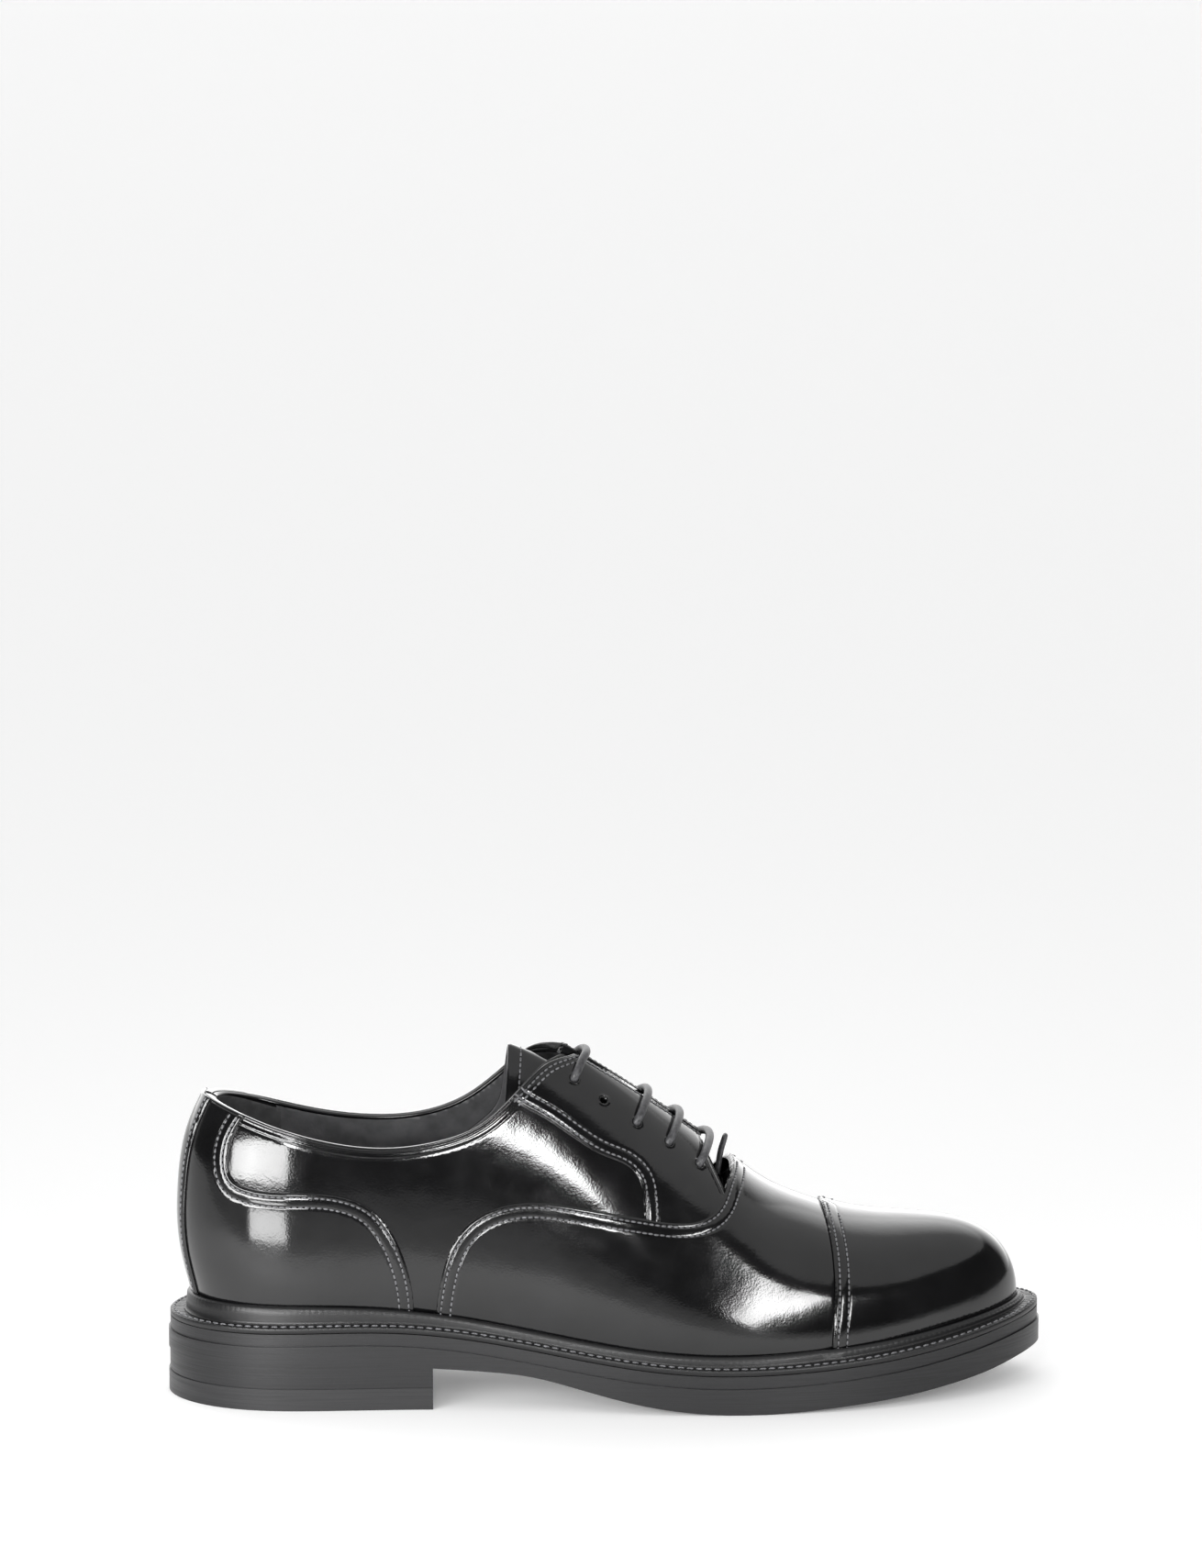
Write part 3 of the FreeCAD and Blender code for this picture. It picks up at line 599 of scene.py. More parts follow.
def noise(tree, scale, detail=3.0, stretch=(1, 1, 1)):
    where = tree.nodes.new("ShaderNodeTexCoord")
    mapping = tree.nodes.new("ShaderNodeMapping")
    mapping.inputs["Scale"].default_value = stretch
    texture = tree.nodes.new("ShaderNodeTexNoise")
    texture.inputs["Scale"].default_value = scale
    texture.inputs["Detail"].default_value = detail
    link(tree, where, "Object", mapping, "Vector")
    link(tree, mapping, "Vector", texture, "Vector")
    return texture


def cells(tree, scale):
    where = tree.nodes.new("ShaderNodeTexCoord")
    texture = tree.nodes.new("ShaderNodeTexVoronoi")
    texture.inputs["Scale"].default_value = scale
    link(tree, where, "Object", texture, "Vector")
    return texture


def ramp(tree, source, out, low, high, from_low=0.3, from_high=0.7):
    spread = tree.nodes.new("ShaderNodeMapRange")
    spread.inputs["From Min"].default_value = from_low
    spread.inputs["From Max"].default_value = from_high
    spread.inputs["To Min"].default_value = low
    spread.inputs["To Max"].default_value = high
    link(tree, source, out, spread, "Value")
    return spread


def bump(tree, source, out, strength, distance, before=None):
    node = tree.nodes.new("ShaderNodeBump")
    node.inputs["Strength"].default_value = strength
    node.inputs["Distance"].default_value = distance
    link(tree, source, out, node, "Height")
    if before is not None:
        link(tree, before, "Normal", node, "Normal")
    return node


def tone(tree, shader, source, out, dark, light):
    colours = tree.nodes.new("ShaderNodeValToRGB")
    colours.color_ramp.elements[0].position = 0.35
    colours.color_ramp.elements[0].color = (*dark, 1)
    colours.color_ramp.elements[1].position = 0.65
    colours.color_ramp.elements[1].color = (*light, 1)
    link(tree, source, out, colours, "Fac")
    link(tree, colours, "Color", shader, "Base Color")


def polished_leather(name):
    material, tree, shader = nodes_of(name)
    mottle = noise(tree, 60, 4)
    tone(tree, shader, mottle, "Fac", (0.002, 0.002, 0.0022), (0.005, 0.005, 0.0054))
    rough = ramp(tree, noise(tree, 110, 5), "Fac", 0.085, 0.15)
    link(tree, rough, "Result", shader, "Roughness")
    shader.inputs["Coat Weight"].default_value = 0.35
    shader.inputs["Coat Roughness"].default_value = 0.07
    wave = bump(tree, noise(tree, 75, 2), "Fac", 0.16, 0.0006)
    pores = bump(tree, cells(tree, 1500), "Distance", 0.18, 0.00006, wave)
    grain = bump(tree, noise(tree, 900, 3), "Fac", 0.22, 0.00008, pores)
    link(tree, grain, "Normal", shader, "Normal")
    link(tree, wave, "Normal", shader, "Coat Normal")
    return material


def matt_leather(name, dark, light, roughness=0.62, grain_scale=1100):
    material, tree, shader = nodes_of(name)
    tone(tree, shader, noise(tree, 160, 5), "Fac", dark, light)
    rough = ramp(tree, noise(tree, 300, 3), "Fac", roughness - 0.08, roughness + 0.1)
    link(tree, rough, "Result", shader, "Roughness")
    grain = bump(tree, cells(tree, grain_scale), "Distance", 0.4, 0.00012)
    fine = bump(tree, noise(tree, 2600, 2), "Fac", 0.3, 0.00006, grain)
    link(tree, fine, "Normal", shader, "Normal")
    return material


def edge_leather(name, dark, light, roughness=0.34):
    """Stained and burnished stack of leather, streaked along its layers."""
    material, tree, shader = nodes_of(name)
    streak = noise(tree, 40, 5, (1, 1, 60))
    tone(tree, shader, streak, "Fac", dark, light)
    rough = ramp(tree, streak, "Fac", roughness + 0.1, roughness - 0.06)
    link(tree, rough, "Result", shader, "Roughness")
    lines = bump(tree, noise(tree, 50, 4, (1, 1, 110)), "Fac", 0.25, 0.00012)
    fibre = bump(tree, noise(tree, 700, 3), "Fac", 0.25, 0.00008, lines)
    link(tree, fibre, "Normal", shader, "Normal")
    shader.inputs["Coat Weight"].default_value = 0.1
    shader.inputs["Coat Roughness"].default_value = 0.2
    return material


def thread(name, dark, light, roughness=0.5):
    material, tree, shader = nodes_of(name)
    tone(tree, shader, noise(tree, 900, 3), "Fac", dark, light)
    shader.inputs["Roughness"].default_value = roughness
    fibre = bump(tree, noise(tree, 2400, 2), "Fac", 0.5, 0.00008)
    link(tree, fibre, "Normal", shader, "Normal")
    return material


def metal(name, colour, roughness):
    material, tree, shader = nodes_of(name)
    tone(tree, shader, noise(tree, 200, 3), "Fac", tuple(0.8 * c for c in colour), colour)
    shader.inputs["Metallic"].default_value = 1.0
    rough = ramp(tree, noise(tree, 600, 3), "Fac", roughness, roughness + 0.15)
    link(tree, rough, "Result", shader, "Roughness")
    return material


calf = polished_leather("polished_calf")
lining = matt_leather("lining_calf", (0.05, 0.05, 0.052), (0.08, 0.08, 0.083), 0.5)
suede = matt_leather("grip_suede", (0.03, 0.03, 0.031), (0.055, 0.055, 0.056), 0.85, 1800)
welt_calf = edge_leather("welt_leather", (0.002, 0.002, 0.0023), (0.005, 0.005, 0.0056), 0.42)
sole_edge = edge_leather("sole_edge", (0.003, 0.003, 0.0035), (0.009, 0.009, 0.0103), 0.42)
tread_rubber = edge_leather("top_lift_rubber", (0.010, 0.010, 0.011), (0.018, 0.018, 0.019), 0.45)
insole_hide = matt_leather("insole_hide", (0.34, 0.23, 0.14), (0.46, 0.32, 0.2), 0.7)
canvas = thread("interlining_canvas", (0.012, 0.012, 0.012), (0.03, 0.03, 0.03), 0.8)
board = matt_leather("stiffener_board", (0.36, 0.3, 0.23), (0.5, 0.43, 0.34), 0.8)
cork = matt_leather("cork_granules", (0.3, 0.2, 0.12), (0.55, 0.4, 0.26), 0.85, 500)
steel = metal("plain_steel", (0.45, 0.45, 0.47), 0.3)
lacquer = thread("black_lacquer", (0.006, 0.006, 0.006), (0.012, 0.012, 0.012), 0.25)
waxed = thread("waxed_braid", (0.03, 0.03, 0.032), (0.075, 0.075, 0.08), 0.42)
sewing = thread("sewing_thread", (0.09, 0.09, 0.095), (0.17, 0.17, 0.18), 0.38)
# near-black matt beads for the needle holes: painted shade inside the holes
painted_hole_shade = thread("painted_hole_shade", (0.001, 0.001, 0.001), (0.003, 0.003, 0.003), 0.9)

CAD_FINISH = {
    "outsole": sole_edge, "midsole": sole_edge, "heel_block": sole_edge, "top_lift": tread_rubber,
    "heel_nails": steel, "shank": steel, "cork_filler": cork, "insole": insole_hide,
    "sock_liner": lining, "quarter_interlining_lateral": canvas,
    "quarter_interlining_medial": canvas, "vamp_interlining": canvas, "heel_counter": board,
    "toe_puff": board, "vamp_lining": lining, "eyelets_lateral": lacquer,
    "eyelets_medial": lacquer, "lace_knot": waxed, "aglets": lacquer, "throat_tack": waxed,
}
for node, finish in CAD_FINISH.items():
    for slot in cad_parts[node].material_slots:
        slot.material = finish


def finished(piece, body, slot, *nodes):
    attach(piece, body)
    if nodes:
        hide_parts(*nodes)
    return piece


# ================================================================ upper panels
def from_gap(p):
    """Distance of points outside the lacing gap along the ridge."""
    return np.abs(p[:, 1] - last.ridge_y(p[:, 0])) - lace_gap(p[:, 0])


def eyelet_centres(inner):
    spots = []
    for x, angle in EYELETS:
        u = np.interp(x, last.x, last.u)
        spots.append((u, 180 - angle if inner else angle))
    return np.array(spots)


def away_from_eyelets(sheet, inner, radius):
    p = sheet.points()
    spots = eyelet_centres(inner)
    centres = on_skin(spots, ON_FACING)
    normals = last.normal(spots[:, 0], spots[:, 1])
    best = np.full(len(p), 1e9)
    for c, n in zip(centres, normals):
        away = p - c
        flat = away - (away @ n)[:, None] * n
        best = np.minimum(best, np.linalg.norm(flat, axis=1) + np.abs(away @ n) * 0.3)
    return best - radius


GAP_SPAN = (-34.0, 39.0)


def gap_chain(inner):
    """Edge of the lacing gap on one side, from the topline to the throat."""
    x = np.arange(*GAP_SPAN, CHAIN_STEP)
    u = np.interp(x, last.x, last.u)
    wanted = last.ridge_y(x) + np.where(inner, 1, -1) * lace_gap(x)

    def off(angle):
        return last.place(u, angle)[:, 1] - wanted

    angle = bisect(off, np.full_like(x, 5.0), np.full_like(x, 175.0))
    return np.stack([u, angle], -1)


def clip_chain(chain, keep):
    return chain[keep(last.place(chain[:, 0], chain[:, 1]))]


def side_value(points, name):
    return side_distance(points[:, [0, 2]], EDGES[name])


SIDES = (("lateral", False), ("medial", True))
TOPLINES = {False: "topline_outer", True: "topline_inner"}
GAP_TOP = -40.0


def topline_chain(inner):
    """Topline of one side, without its stretch across the lacing gap."""
    return clip_chain(side_chain(TOPLINES[inner], inner),
                      lambda p: (from_gap(p) > 0) | (p[:, 0] < GAP_TOP))


def opening_chain(inner):
    """Lacing edge of one facing."""
    def on_facing(p):
        return (side_value(p, TOPLINES[inner]) > 0) & (side_value(p, "front") > 0)

    return clip_chain(gap_chain(inner), on_facing)


def front_chain(inner, overlap):
    """Front end of one facing, as far as an overlap under the vamp."""
    return clip_chain(side_chain("front", inner),
                      lambda p: (side_value(p, "vamp") < overlap) & (from_gap(p) > 0))


def above_welt(p):
    """Whether points stand clear of the welt, or only just under its bead."""
    return p[:, 2] > crest(p[:, 0]) - UNDER_WELT


def half_sheet(inner, u0=0.0, u1=1.0, rows=330, columns=210):
    return Sheet.whole(u0, u1, 90 if inner else 0, 180 if inner else 90, rows, columns)


def opened(sheet, inner, overlap, hole):
    """Cuts a side panel along the vamp, throat and lacing gap, and pierces its eyelet holes."""
    sheet.cut(overlap - beyond(sheet, "vamp"))
    sheet.cut(beyond(sheet, "front"))
    sheet.cut(from_gap(sheet.points()))
    sheet.cut(away_from_eyelets(sheet, inner, hole), snap=0.05)


panels = {}
stitch_lines = []


def panel(node, sheet, height, thickness, relief=None, finish=calf, slot="upper_leather", kind="leather"):
    """Makes the leather of one node from its sheet, in that node's place."""
    piece = solid_sheet(node + "_" + kind, sheet, height, thickness, finish, relief)
    body = "tongue" if node.startswith("tongue") else "shoe"
    panels[node] = finished(piece, body, slot, node)


def add_seam(chain, rows, node):
    """Remembers the stitch rows that run beside an edge of a panel."""
    for row in rows:
        stitch_lines.append((chain, row, node))


for side, inner in SIDES:
    topline = TOPLINES[inner]
    top_chain = topline_chain(inner)

    quarter = half_sheet(inner)
    quarter.cut(beyond(quarter, topline))
    opened(quarter, inner, VAMP_ON_QUARTER, QUARTER_HOLE)
    refine_near(quarter, [top_chain], TOPLINE_ROWS)
    relief = edge_relief(quarter, [top_chain], TOPLINE_ROWS, roll=0.9, groove=0.12)
    panel("quarter_" + side, quarter, ON_QUARTER, QUARTER, relief)

    edge = clip_chain(side_chain("foxing", inner),
                      lambda p: (side_value(p, topline) > 0) & above_welt(p))
    foxing = half_sheet(inner, 0, 0.5)
    foxing.cut(beyond(foxing, topline))
    foxing.cut(beyond(foxing, "foxing"))
    refine_near(foxing, [edge], STITCH_ROWS)
    refine_near(foxing, [top_chain], ())
    relief = edge_relief(foxing, [edge], STITCH_ROWS) + edge_relief(foxing, [top_chain], (), roll=0.9)
    panel("foxing_" + side, foxing, ON_VAMP, OVERLAY, relief)
    add_seam(edge, STITCH_ROWS, "foxing_" + side)

    lower = clip_chain(side_chain("facing", inner),
                       lambda p: (side_value(p, topline) > 0) & (side_value(p, "vamp") < 0))
    opening = opening_chain(inner)
    open_edges = [opening, front_chain(inner, 0), top_chain]
    facing = half_sheet(inner, 0.3, 0.72)
    facing.cut(beyond(facing, topline))
    facing.cut(-beyond(facing, "facing"))
    opened(facing, inner, VAMP_ON_FACING, FACING_HOLE)
    refine_near(facing, [lower], STITCH_ROWS)
    refine_near(facing, open_edges, LACING_ROWS)
    for level in RING_LEVELS:
        facing.cut(away_from_eyelets(facing, inner, FACING_HOLE), level, keep=False)
    relief = edge_relief(facing, [lower], STITCH_ROWS)
    relief += edge_relief(facing, open_edges, LACING_ROWS, groove=0.1)
    ring = away_from_eyelets(facing, inner, FACING_HOLE)
    relief += RING_RISE * np.exp(-((ring - 0.55) / 0.42) ** 2) - HOLE_SINK * np.exp(-(ring / 0.25) ** 2)
    panel("facing_" + side, facing, ON_FACING, FACING, relief)
    add_seam(lower, STITCH_ROWS, "facing_" + side)
    add_seam(opening, LACING_ROWS, "facing_" + side)
    add_seam(clip_chain(top_chain, lambda p: p[:, 0] > FACING_BACK), TOPLINE_ROWS, "facing_" + side)
    add_seam(clip_chain(top_chain, lambda p: (p[:, 0] <= FACING_BACK) & (side_value(p, "foxing") < 0)),
             TOPLINE_ROWS, "quarter_" + side)

vamp_chain = clip_chain(over_ridge("vamp"), above_welt)
vamp = Sheet.whole(0.25, 0.78)
vamp.cut(beyond(vamp, "vamp"))
vamp.cut(CAP_ON_VAMP - beyond(vamp, "cap"))
refine_near(vamp, [vamp_chain], STITCH_ROWS)
under_cap = np.clip(beyond(vamp, "cap") / 1.5, 0, 1)
panel("vamp", vamp, ON_VAMP, VAMP, edge_relief(vamp, [vamp_chain], STITCH_ROWS) - 0.5 * under_cap)
add_seam(vamp_chain, STITCH_ROWS, "vamp")

cap_chain = clip_chain(over_ridge("cap"), above_welt)
cap = Sheet.whole(0.6, 1.0)
cap.cut(beyond(cap, "cap"))
refine_near(cap, [cap_chain], STITCH_ROWS)
panel("toe_cap", cap, ON_CAP, OVERLAY, edge_relief(cap, [cap_chain], STITCH_ROWS, roll=0.7))
add_seam(cap_chain, STITCH_ROWS, "toe_cap")


# ================================================================ backstay, linings and edges
def layer_points(sheet, height):
    return sheet.points() + sheet.normals() * height


BACKSTAY_MIDDLE = 1.5
BACKSTAY_HALF = 9.0
stay = Sheet.whole(0, 0.2)
stay.cut(beyond(stay, "topline_outer"))
stay.cut(BACKSTAY_HALF - np.abs(layer_points(stay, ON_CAP)[:, 1] - BACKSTAY_MIDDLE))
stay.cut(layer_points(stay, ON_CAP)[:, 2] - crest(layer_points(stay, ON_CAP)[:, 0]) + 2.0)
stay_chains = []
rim_at = np.unique(stay.rim_edges())
for inner in (False, True):
    p = layer_points(stay, ON_CAP)[rim_at]
    on_side = np.abs(np.abs(p[:, 1] - BACKSTAY_MIDDLE) - BACKSTAY_HALF) < 0.05
    on_side &= (p[:, 1] > BACKSTAY_MIDDLE) == inner
    order = rim_at[on_side][np.argsort(p[on_side, 2])]
    rough = np.stack([stay.f["u"][order], stay.f["a"][order]], -1)
    along = np.linspace(0, len(rough) - 1, 4 * len(rough))
    stay_chains.append(np.stack([np.interp(along, np.arange(len(rough)), c) for c in rough.T], -1))
refine_near(stay, stay_chains, BACKSTAY_ROWS)
panel("backstay", stay, ON_CAP, OVERLAY, edge_relief(stay, stay_chains, BACKSTAY_ROWS, roll=0.6))
for chain in stay_chains:
    add_seam(chain, BACKSTAY_ROWS, "backstay")

GRIP_EDGE = -114.0
GRIP_OVERLAP = 1.5
ON_LINING_BACK = -3.3
for side, inner in SIDES:
    inside = half_sheet(inner, rows=200, columns=130)
    inside.cut(beyond(inside, TOPLINES[inner]))
    opened(inside, inner, VAMP_ON_LINING, LINING_HOLE)
    inside.cut(layer_points(inside, ON_LINING)[:, 0] - GRIP_EDGE)
    panel("quarter_lining_" + side, inside, ON_LINING_BACK, LINING, None, lining, "lining_leather", "calf")

grip = Sheet.whole(0, 0.35, rows=260, columns=160)
grip.cut(beyond(grip, "topline_outer"))
grip.cut(GRIP_EDGE - layer_points(grip, ON_LINING)[:, 0] + GRIP_OVERLAP)
panel("heel_grip", grip, ON_LINING_BACK, GRIP, None, suede, "grip_suede", "suede")


def swept(name, spine, across, up, profile, material, closed=False):
    """Tube along a spine; profile is (across, up) points, one set or one set per place."""
    count = len(spine)
    shape = np.broadcast_to(np.asarray(profile, float), (count,) + np.shape(profile)[-2:])
    k = shape.shape[1]
    points = spine[:, None] + across[:, None] * shape[..., :1] + up[:, None] * shape[..., 1:]
    index = np.arange(count * k).reshape(count, k)
    following = np.roll(index, -1, 0) if closed else index[1:]
    here = index if closed else index[:-1]
    ring = np.stack([here, np.roll(here, -1, 1), np.roll(following, -1, 1), following], -1)
    faces = ring.reshape(-1, 4).tolist()
    if not closed:
        faces += [index[0][::-1].tolist(), index[-1].tolist()]
    return mesh_object(name, points.reshape(-1, 3), faces, material)


def even(line, spacing):
    """Points at an even spacing along a line, and each one's distance along it."""
    steps = np.linalg.norm(np.diff(line, axis=0), axis=1)
    s = np.concatenate([[0], np.cumsum(steps)])
    fresh = np.linspace(0, s[-1], max(int(s[-1] / spacing), 2) + 1)
    out = np.stack([np.interp(fresh, s, c) for c in line.T], -1)
    return out, fresh


def smoothed(values, reach):
    kernel = np.hanning(2 * reach + 3)[1:-1]
    kernel /= kernel.sum()
    wide = np.concatenate([np.repeat(values[:1], reach, 0), values, np.repeat(values[-1:], reach, 0)])
    if values.ndim == 1:
        return np.convolve(wide, kernel, "valid")
    return np.stack([np.convolve(c, kernel, "valid") for c in wide.T], -1)


def unit(v):
    return v / np.maximum(np.linalg.norm(v, axis=-1, keepdims=True), 1e-12)


def squared(up, travel):
    """Directions turned square to a line's direction of travel."""
    return unit(up - (up * travel).sum(1)[:, None] * travel)


FOLD_FOOT = -1.6
THROAT_OVERLAP = 3.0


def folded_edge(name, chain, outer_height, top, inner_height=ON_LINING - 0.15, rise=0.75):
    """Rounded fold of leather that closes an edge of the upper; top is 1 where it faces up."""
    base = on_skin(chain)
    n = last.normal(chain[:, 0], chain[:, 1])
    columns, _ = even(np.hstack([base, n, np.asarray(outer_height)[:, None]]), 0.5)
    base, n, high = columns[:, :3], unit(smoothed(columns[:, 3:6], 3)), columns[:, 6]
    base = smoothed(base, 3)
    up = unit(np.cross(n, unit(np.gradient(base, axis=0))))
    if (up[:, 2] * top).mean() < 0:
        up = -up
    high = smoothed(high, 4)
    turn = np.linspace(0, math.pi, 13)
    centre = (high + inner_height) / 2
    half = (high - inner_height) / 2
    across = centre[:, None] + half[:, None] * np.cos(turn)
    lift = np.broadcast_to(-0.25 + rise * np.sin(turn) ** 0.7, across.shape)
    body = np.stack([across, lift], -1)
    low = np.full_like(high, FOLD_FOOT)
    foot = np.stack([np.stack([centre + half * share, low], -1) for share in (-0.8, 0.7)], 1)
    piece = swept(name, base, n, up, np.concatenate([body, foot], 1), calf)
    return finished(piece, "shoe", "upper_leather")


for side, inner in SIDES:
    chain = topline_chain(inner)
    p = last.place(chain[:, 0], chain[:, 1])
    high = np.full(len(chain), ON_QUARTER - 0.05)
    high[side_value(p, "foxing") > 0] = ON_VAMP - 0.1
    high[side_value(p, "facing") < 0] = ON_FACING - 0.1
    folded_edge("topline_fold_" + side, chain, high, 1)
    for name, chain, top, rise in (("lacing_fold_", opening_chain(inner), 1, 0.55),
                                   ("throat_fold_", front_chain(inner, THROAT_OVERLAP), -1, 0.5)):
        folded_edge(name + side, chain, np.full(len(chain), ON_FACING - 0.15), top, ON_LINING, rise)


# ================================================================ tongue
TONGUE_SEAM = 4.4
for node, height, thickness, finish, slot in (
        ("tongue", ON_TONGUE, TONGUE, calf, "upper_leather"),
        ("tongue_lining", ON_TONGUE - TONGUE, LINING, lining, "lining_leather")):
    flap = Sheet.whole(0.2, 0.72, 25, 155)
    flap.cut(side_value(layer_points(flap, height), "tongue"))
    flap.cut(TONGUE_FRONT - layer_points(flap, height)[:, 0])
    p = layer_points(flap, height)
    flap.cut(tongue_half(p[:, 0]) - np.abs(p[:, 1] - last.ridge_y(p[:, 0])))
    for level in (0.4, 0.9, TONGUE_SEAM - 0.4, TONGUE_SEAM, TONGUE_SEAM + 0.4):
        flap.cut(side_value(layer_points(flap, height), "tongue"), level, keep=False)
    relief = seam_profile(side_value(layer_points(flap, height), "tongue"), (TONGUE_SEAM,), roll=0.45)
    panel(node, flap, height, thickness, relief, finish, slot)


# ================================================================ storm welt
WELT_STEP = 0.4
CAP_START = 71.0
WHEEL_PITCH = 2.3
WHEEL_DEPTH = 0.16
ROUND = [(-0.7, -0.95, 0), (-0.1, -0.75, 0), (0.15, -0.4, 0), (0.5, -0.08, 0), (0.95, 0.0, 0),
         (1.4, -0.08, 0.2), (1.85, -0.4, 0.6), (2.2, -0.9, 1.0)]
LEDGE_START = 3.6


def welt_lines():
    """Places round the sole: the upper's outer face at the bead's top, and the way outwards."""
    turn = sole.end - sole.start
    t = last.t_back + np.linspace(0, turn, int(turn / WELT_STEP), endpoint=False)
    inner = t > last.t_tip
    x_in = last.outline(t)[:, 0]
    high = crest(x_in)
    xs = np.linspace(125.0, last.x_tip - 0.01, 2000)
    u = np.interp(xs, last.x, last.u)
    ridge_high = last.place(u, np.full_like(u, 90.0))[:, 2]
    front = xs[np.argmin(np.abs(ridge_high - crest(xs)))]
    near_toe = np.clip((x_in - 88) / (last.x_tip - 88), 0, 1)
    x = np.clip(x_in - (last.x_tip - front) * near_toe ** 4, last.x_back, last.x_tip)
    u = np.interp(x, last.x, last.u)

    def over(angle):
        return last.place(u, angle)[:, 2] - high

    angle = bisect(over, np.zeros_like(u), np.full_like(u, 90.0))
    angle = np.where(inner, 180 - angle, angle)
    step = np.clip((x_in - CAP_START) / 6, 0, 1) * ON_CAP
    contact = last.place(u, angle) + last.normal(u, angle) * step[:, None]
    edge = sole.shifted(t, np.full_like(t, SOLE_STEP))
    out = edge - contact[:, :2]
    room = np.linalg.norm(out, axis=1)
    out = np.hstack([out / room[:, None], np.zeros((len(t), 1))])
    base = contact * (1, 1, 0)
    return base, out, room, high, rim(edge[:, 0]), feather(edge[:, 0])


base, out, room, high, top, foot = welt_lines()
rand = base + out * room[:, None]
walk = np.concatenate([[0], np.cumsum(np.linalg.norm(np.diff(rand, axis=0), axis=1))])
tick = np.clip(np.cos(2 * math.pi * walk / WHEEL_PITCH) * 1.6 - 0.6, 0, 1)
squeeze = np.minimum(1.0, (room - 0.8) / 4.2)
tall = high - top
ledge = room - 0.6 - LEDGE_START * squeeze
profile = [(r * squeeze, high + dz - WHEEL_DEPTH * mark * tick) for r, dz, mark in ROUND]
profile += [
    (2.42 * squeeze, top + 0.5 * tall - WHEEL_DEPTH * tick),
    (2.5 * squeeze, top + 0.15 * tall),
    (2.62 * squeeze, top - 0.45),
    (3.05 * squeeze, top - 0.5),
    (3.35 * squeeze, top - 0.12 - 0.12 * tick),
]
profile += [(LEDGE_START * squeeze + share * ledge, top - 0.22 * tick + 0.04) for share in (0.15, 0.45, 0.75)]
profile += [
    (room - 0.35, top - 0.08 - 0.2 * tick),
    (room - 0.05, top - 0.4),
    (room, top - 0.8),
    (room, foot + 0.25),
    (room - 0.25, foot),
    (np.full_like(room, -0.7), foot),
]
shape = np.stack([np.stack([r, z], -1) for r, z in profile], 1)
upward = np.broadcast_to((0.0, 0.0, 1.0), base.shape)
piece = swept("storm_welt", base, out, upward, shape, welt_calf, closed=True)
panels["welt"] = finished(piece, "shoe", "welt_leather", "welt")


# ================================================================ stitching
STITCH_PITCH = 2.1
WELT_PITCH = 3.1
STITCH_LIFT = 0.12
COLLAR_FRONT = -100.0
COLLAR_ROOM = 0.9
# half length and radius
STITCH = (0.84, 0.34)
WELT_STITCH = (1.2, 0.36)
# size of the dark beads that paint the shade in the needle holes
HOLE = (0.3, 0.3)


def place_beads(name, centres, along, out, size, material, sides=8, slices=6):
    """Many small rounded rods as one piece."""
    half_length, radius = size
    turn = np.linspace(0, 2 * math.pi, sides, endpoint=False)
    rise = np.linspace(-1, 1, slices)
    rings = []
    for w in rise:
        r = math.sqrt(max(1 - w ** 4, 0.02))
        rings.append([(w * half_length, r * radius * math.cos(a), r * radius * math.sin(a)) for a in turn])
    local = np.array(rings).reshape(-1, 3)
    across = np.cross(out, along)
    points = (centres[:, None] + along[:, None] * local[None, :, :1]
              + across[:, None] * local[None, :, 1:2] + out[:, None] * local[None, :, 2:])
    k = len(local)
    faces = []
    for s in range(slices - 1):
        for i in range(sides):
            j = (i + 1) % sides
            faces.append([s * sides + i, s * sides + j, (s + 1) * sides + j, (s + 1) * sides + i])
    caps = [list(range(sides))[::-1], [(slices - 1) * sides + i for i in range(sides)]]
    every = []
    for c in range(len(centres)):
        every += [[v + c * k for v in f] for f in faces + caps]
    return mesh_object(name, points.reshape(-1, 3), every, material)


def surface_tree(piece):
    mesh = piece.data
    co = np.zeros(len(mesh.vertices) * 3)
    mesh.vertices.foreach_get("co", co)
    polygons = [tuple(p.vertices) for p in mesh.polygons]
    return BVHTree.FromPolygons([Vector(v) for v in co.reshape(-1, 3) / MM], polygons)


trees = {}


def seam_places(chain, row, node):
    """Evenly spaced places on a panel, a distance in from its edge."""
    if node not in trees:
        trees[node] = surface_tree(panels[node])
    tree = trees[node]
    base = on_skin(chain)
    n = last.normal(chain[:, 0], chain[:, 1])
    breaks = np.flatnonzero(np.linalg.norm(np.diff(base, axis=0), axis=1) > 2.5) + 1
    found = []
    for some in np.split(np.arange(len(base)), breaks):
        if len(some) < 12:
            continue
        line, _ = even(np.hstack([base[some], n[some]]), 0.5)
        p, m = smoothed(line[:, :3], 2), unit(line[:, 3:])
        side = unit(np.cross(m, unit(np.gradient(p, axis=0))))
        best = None
        for sign in (1, -1):
            q = p + side * row * sign + m * 0.6
            hits = [tree.find_nearest(Vector(v), 3.0) for v in q]
            off = np.median([h[3] if h[0] is not None else 9.0 for h in hits])
            if best is None or off < best[0]:
                best = (off, hits)
        hits = [h for h in best[1] if h[0] is not None and h[3] < 1.6]
        if len(hits) < 6:
            continue
        where = smoothed(np.array([h[0] for h in hits]), 2)
        facing_out = np.array([h[1] for h in hits])
        columns, _ = even(np.hstack([where, facing_out]), STITCH_PITCH)
        at, up = columns[:, :3], unit(columns[:, 3:])
        t = unit(np.gradient(at, axis=0))
        found.append((at, t, squared(up, t)))
    return found


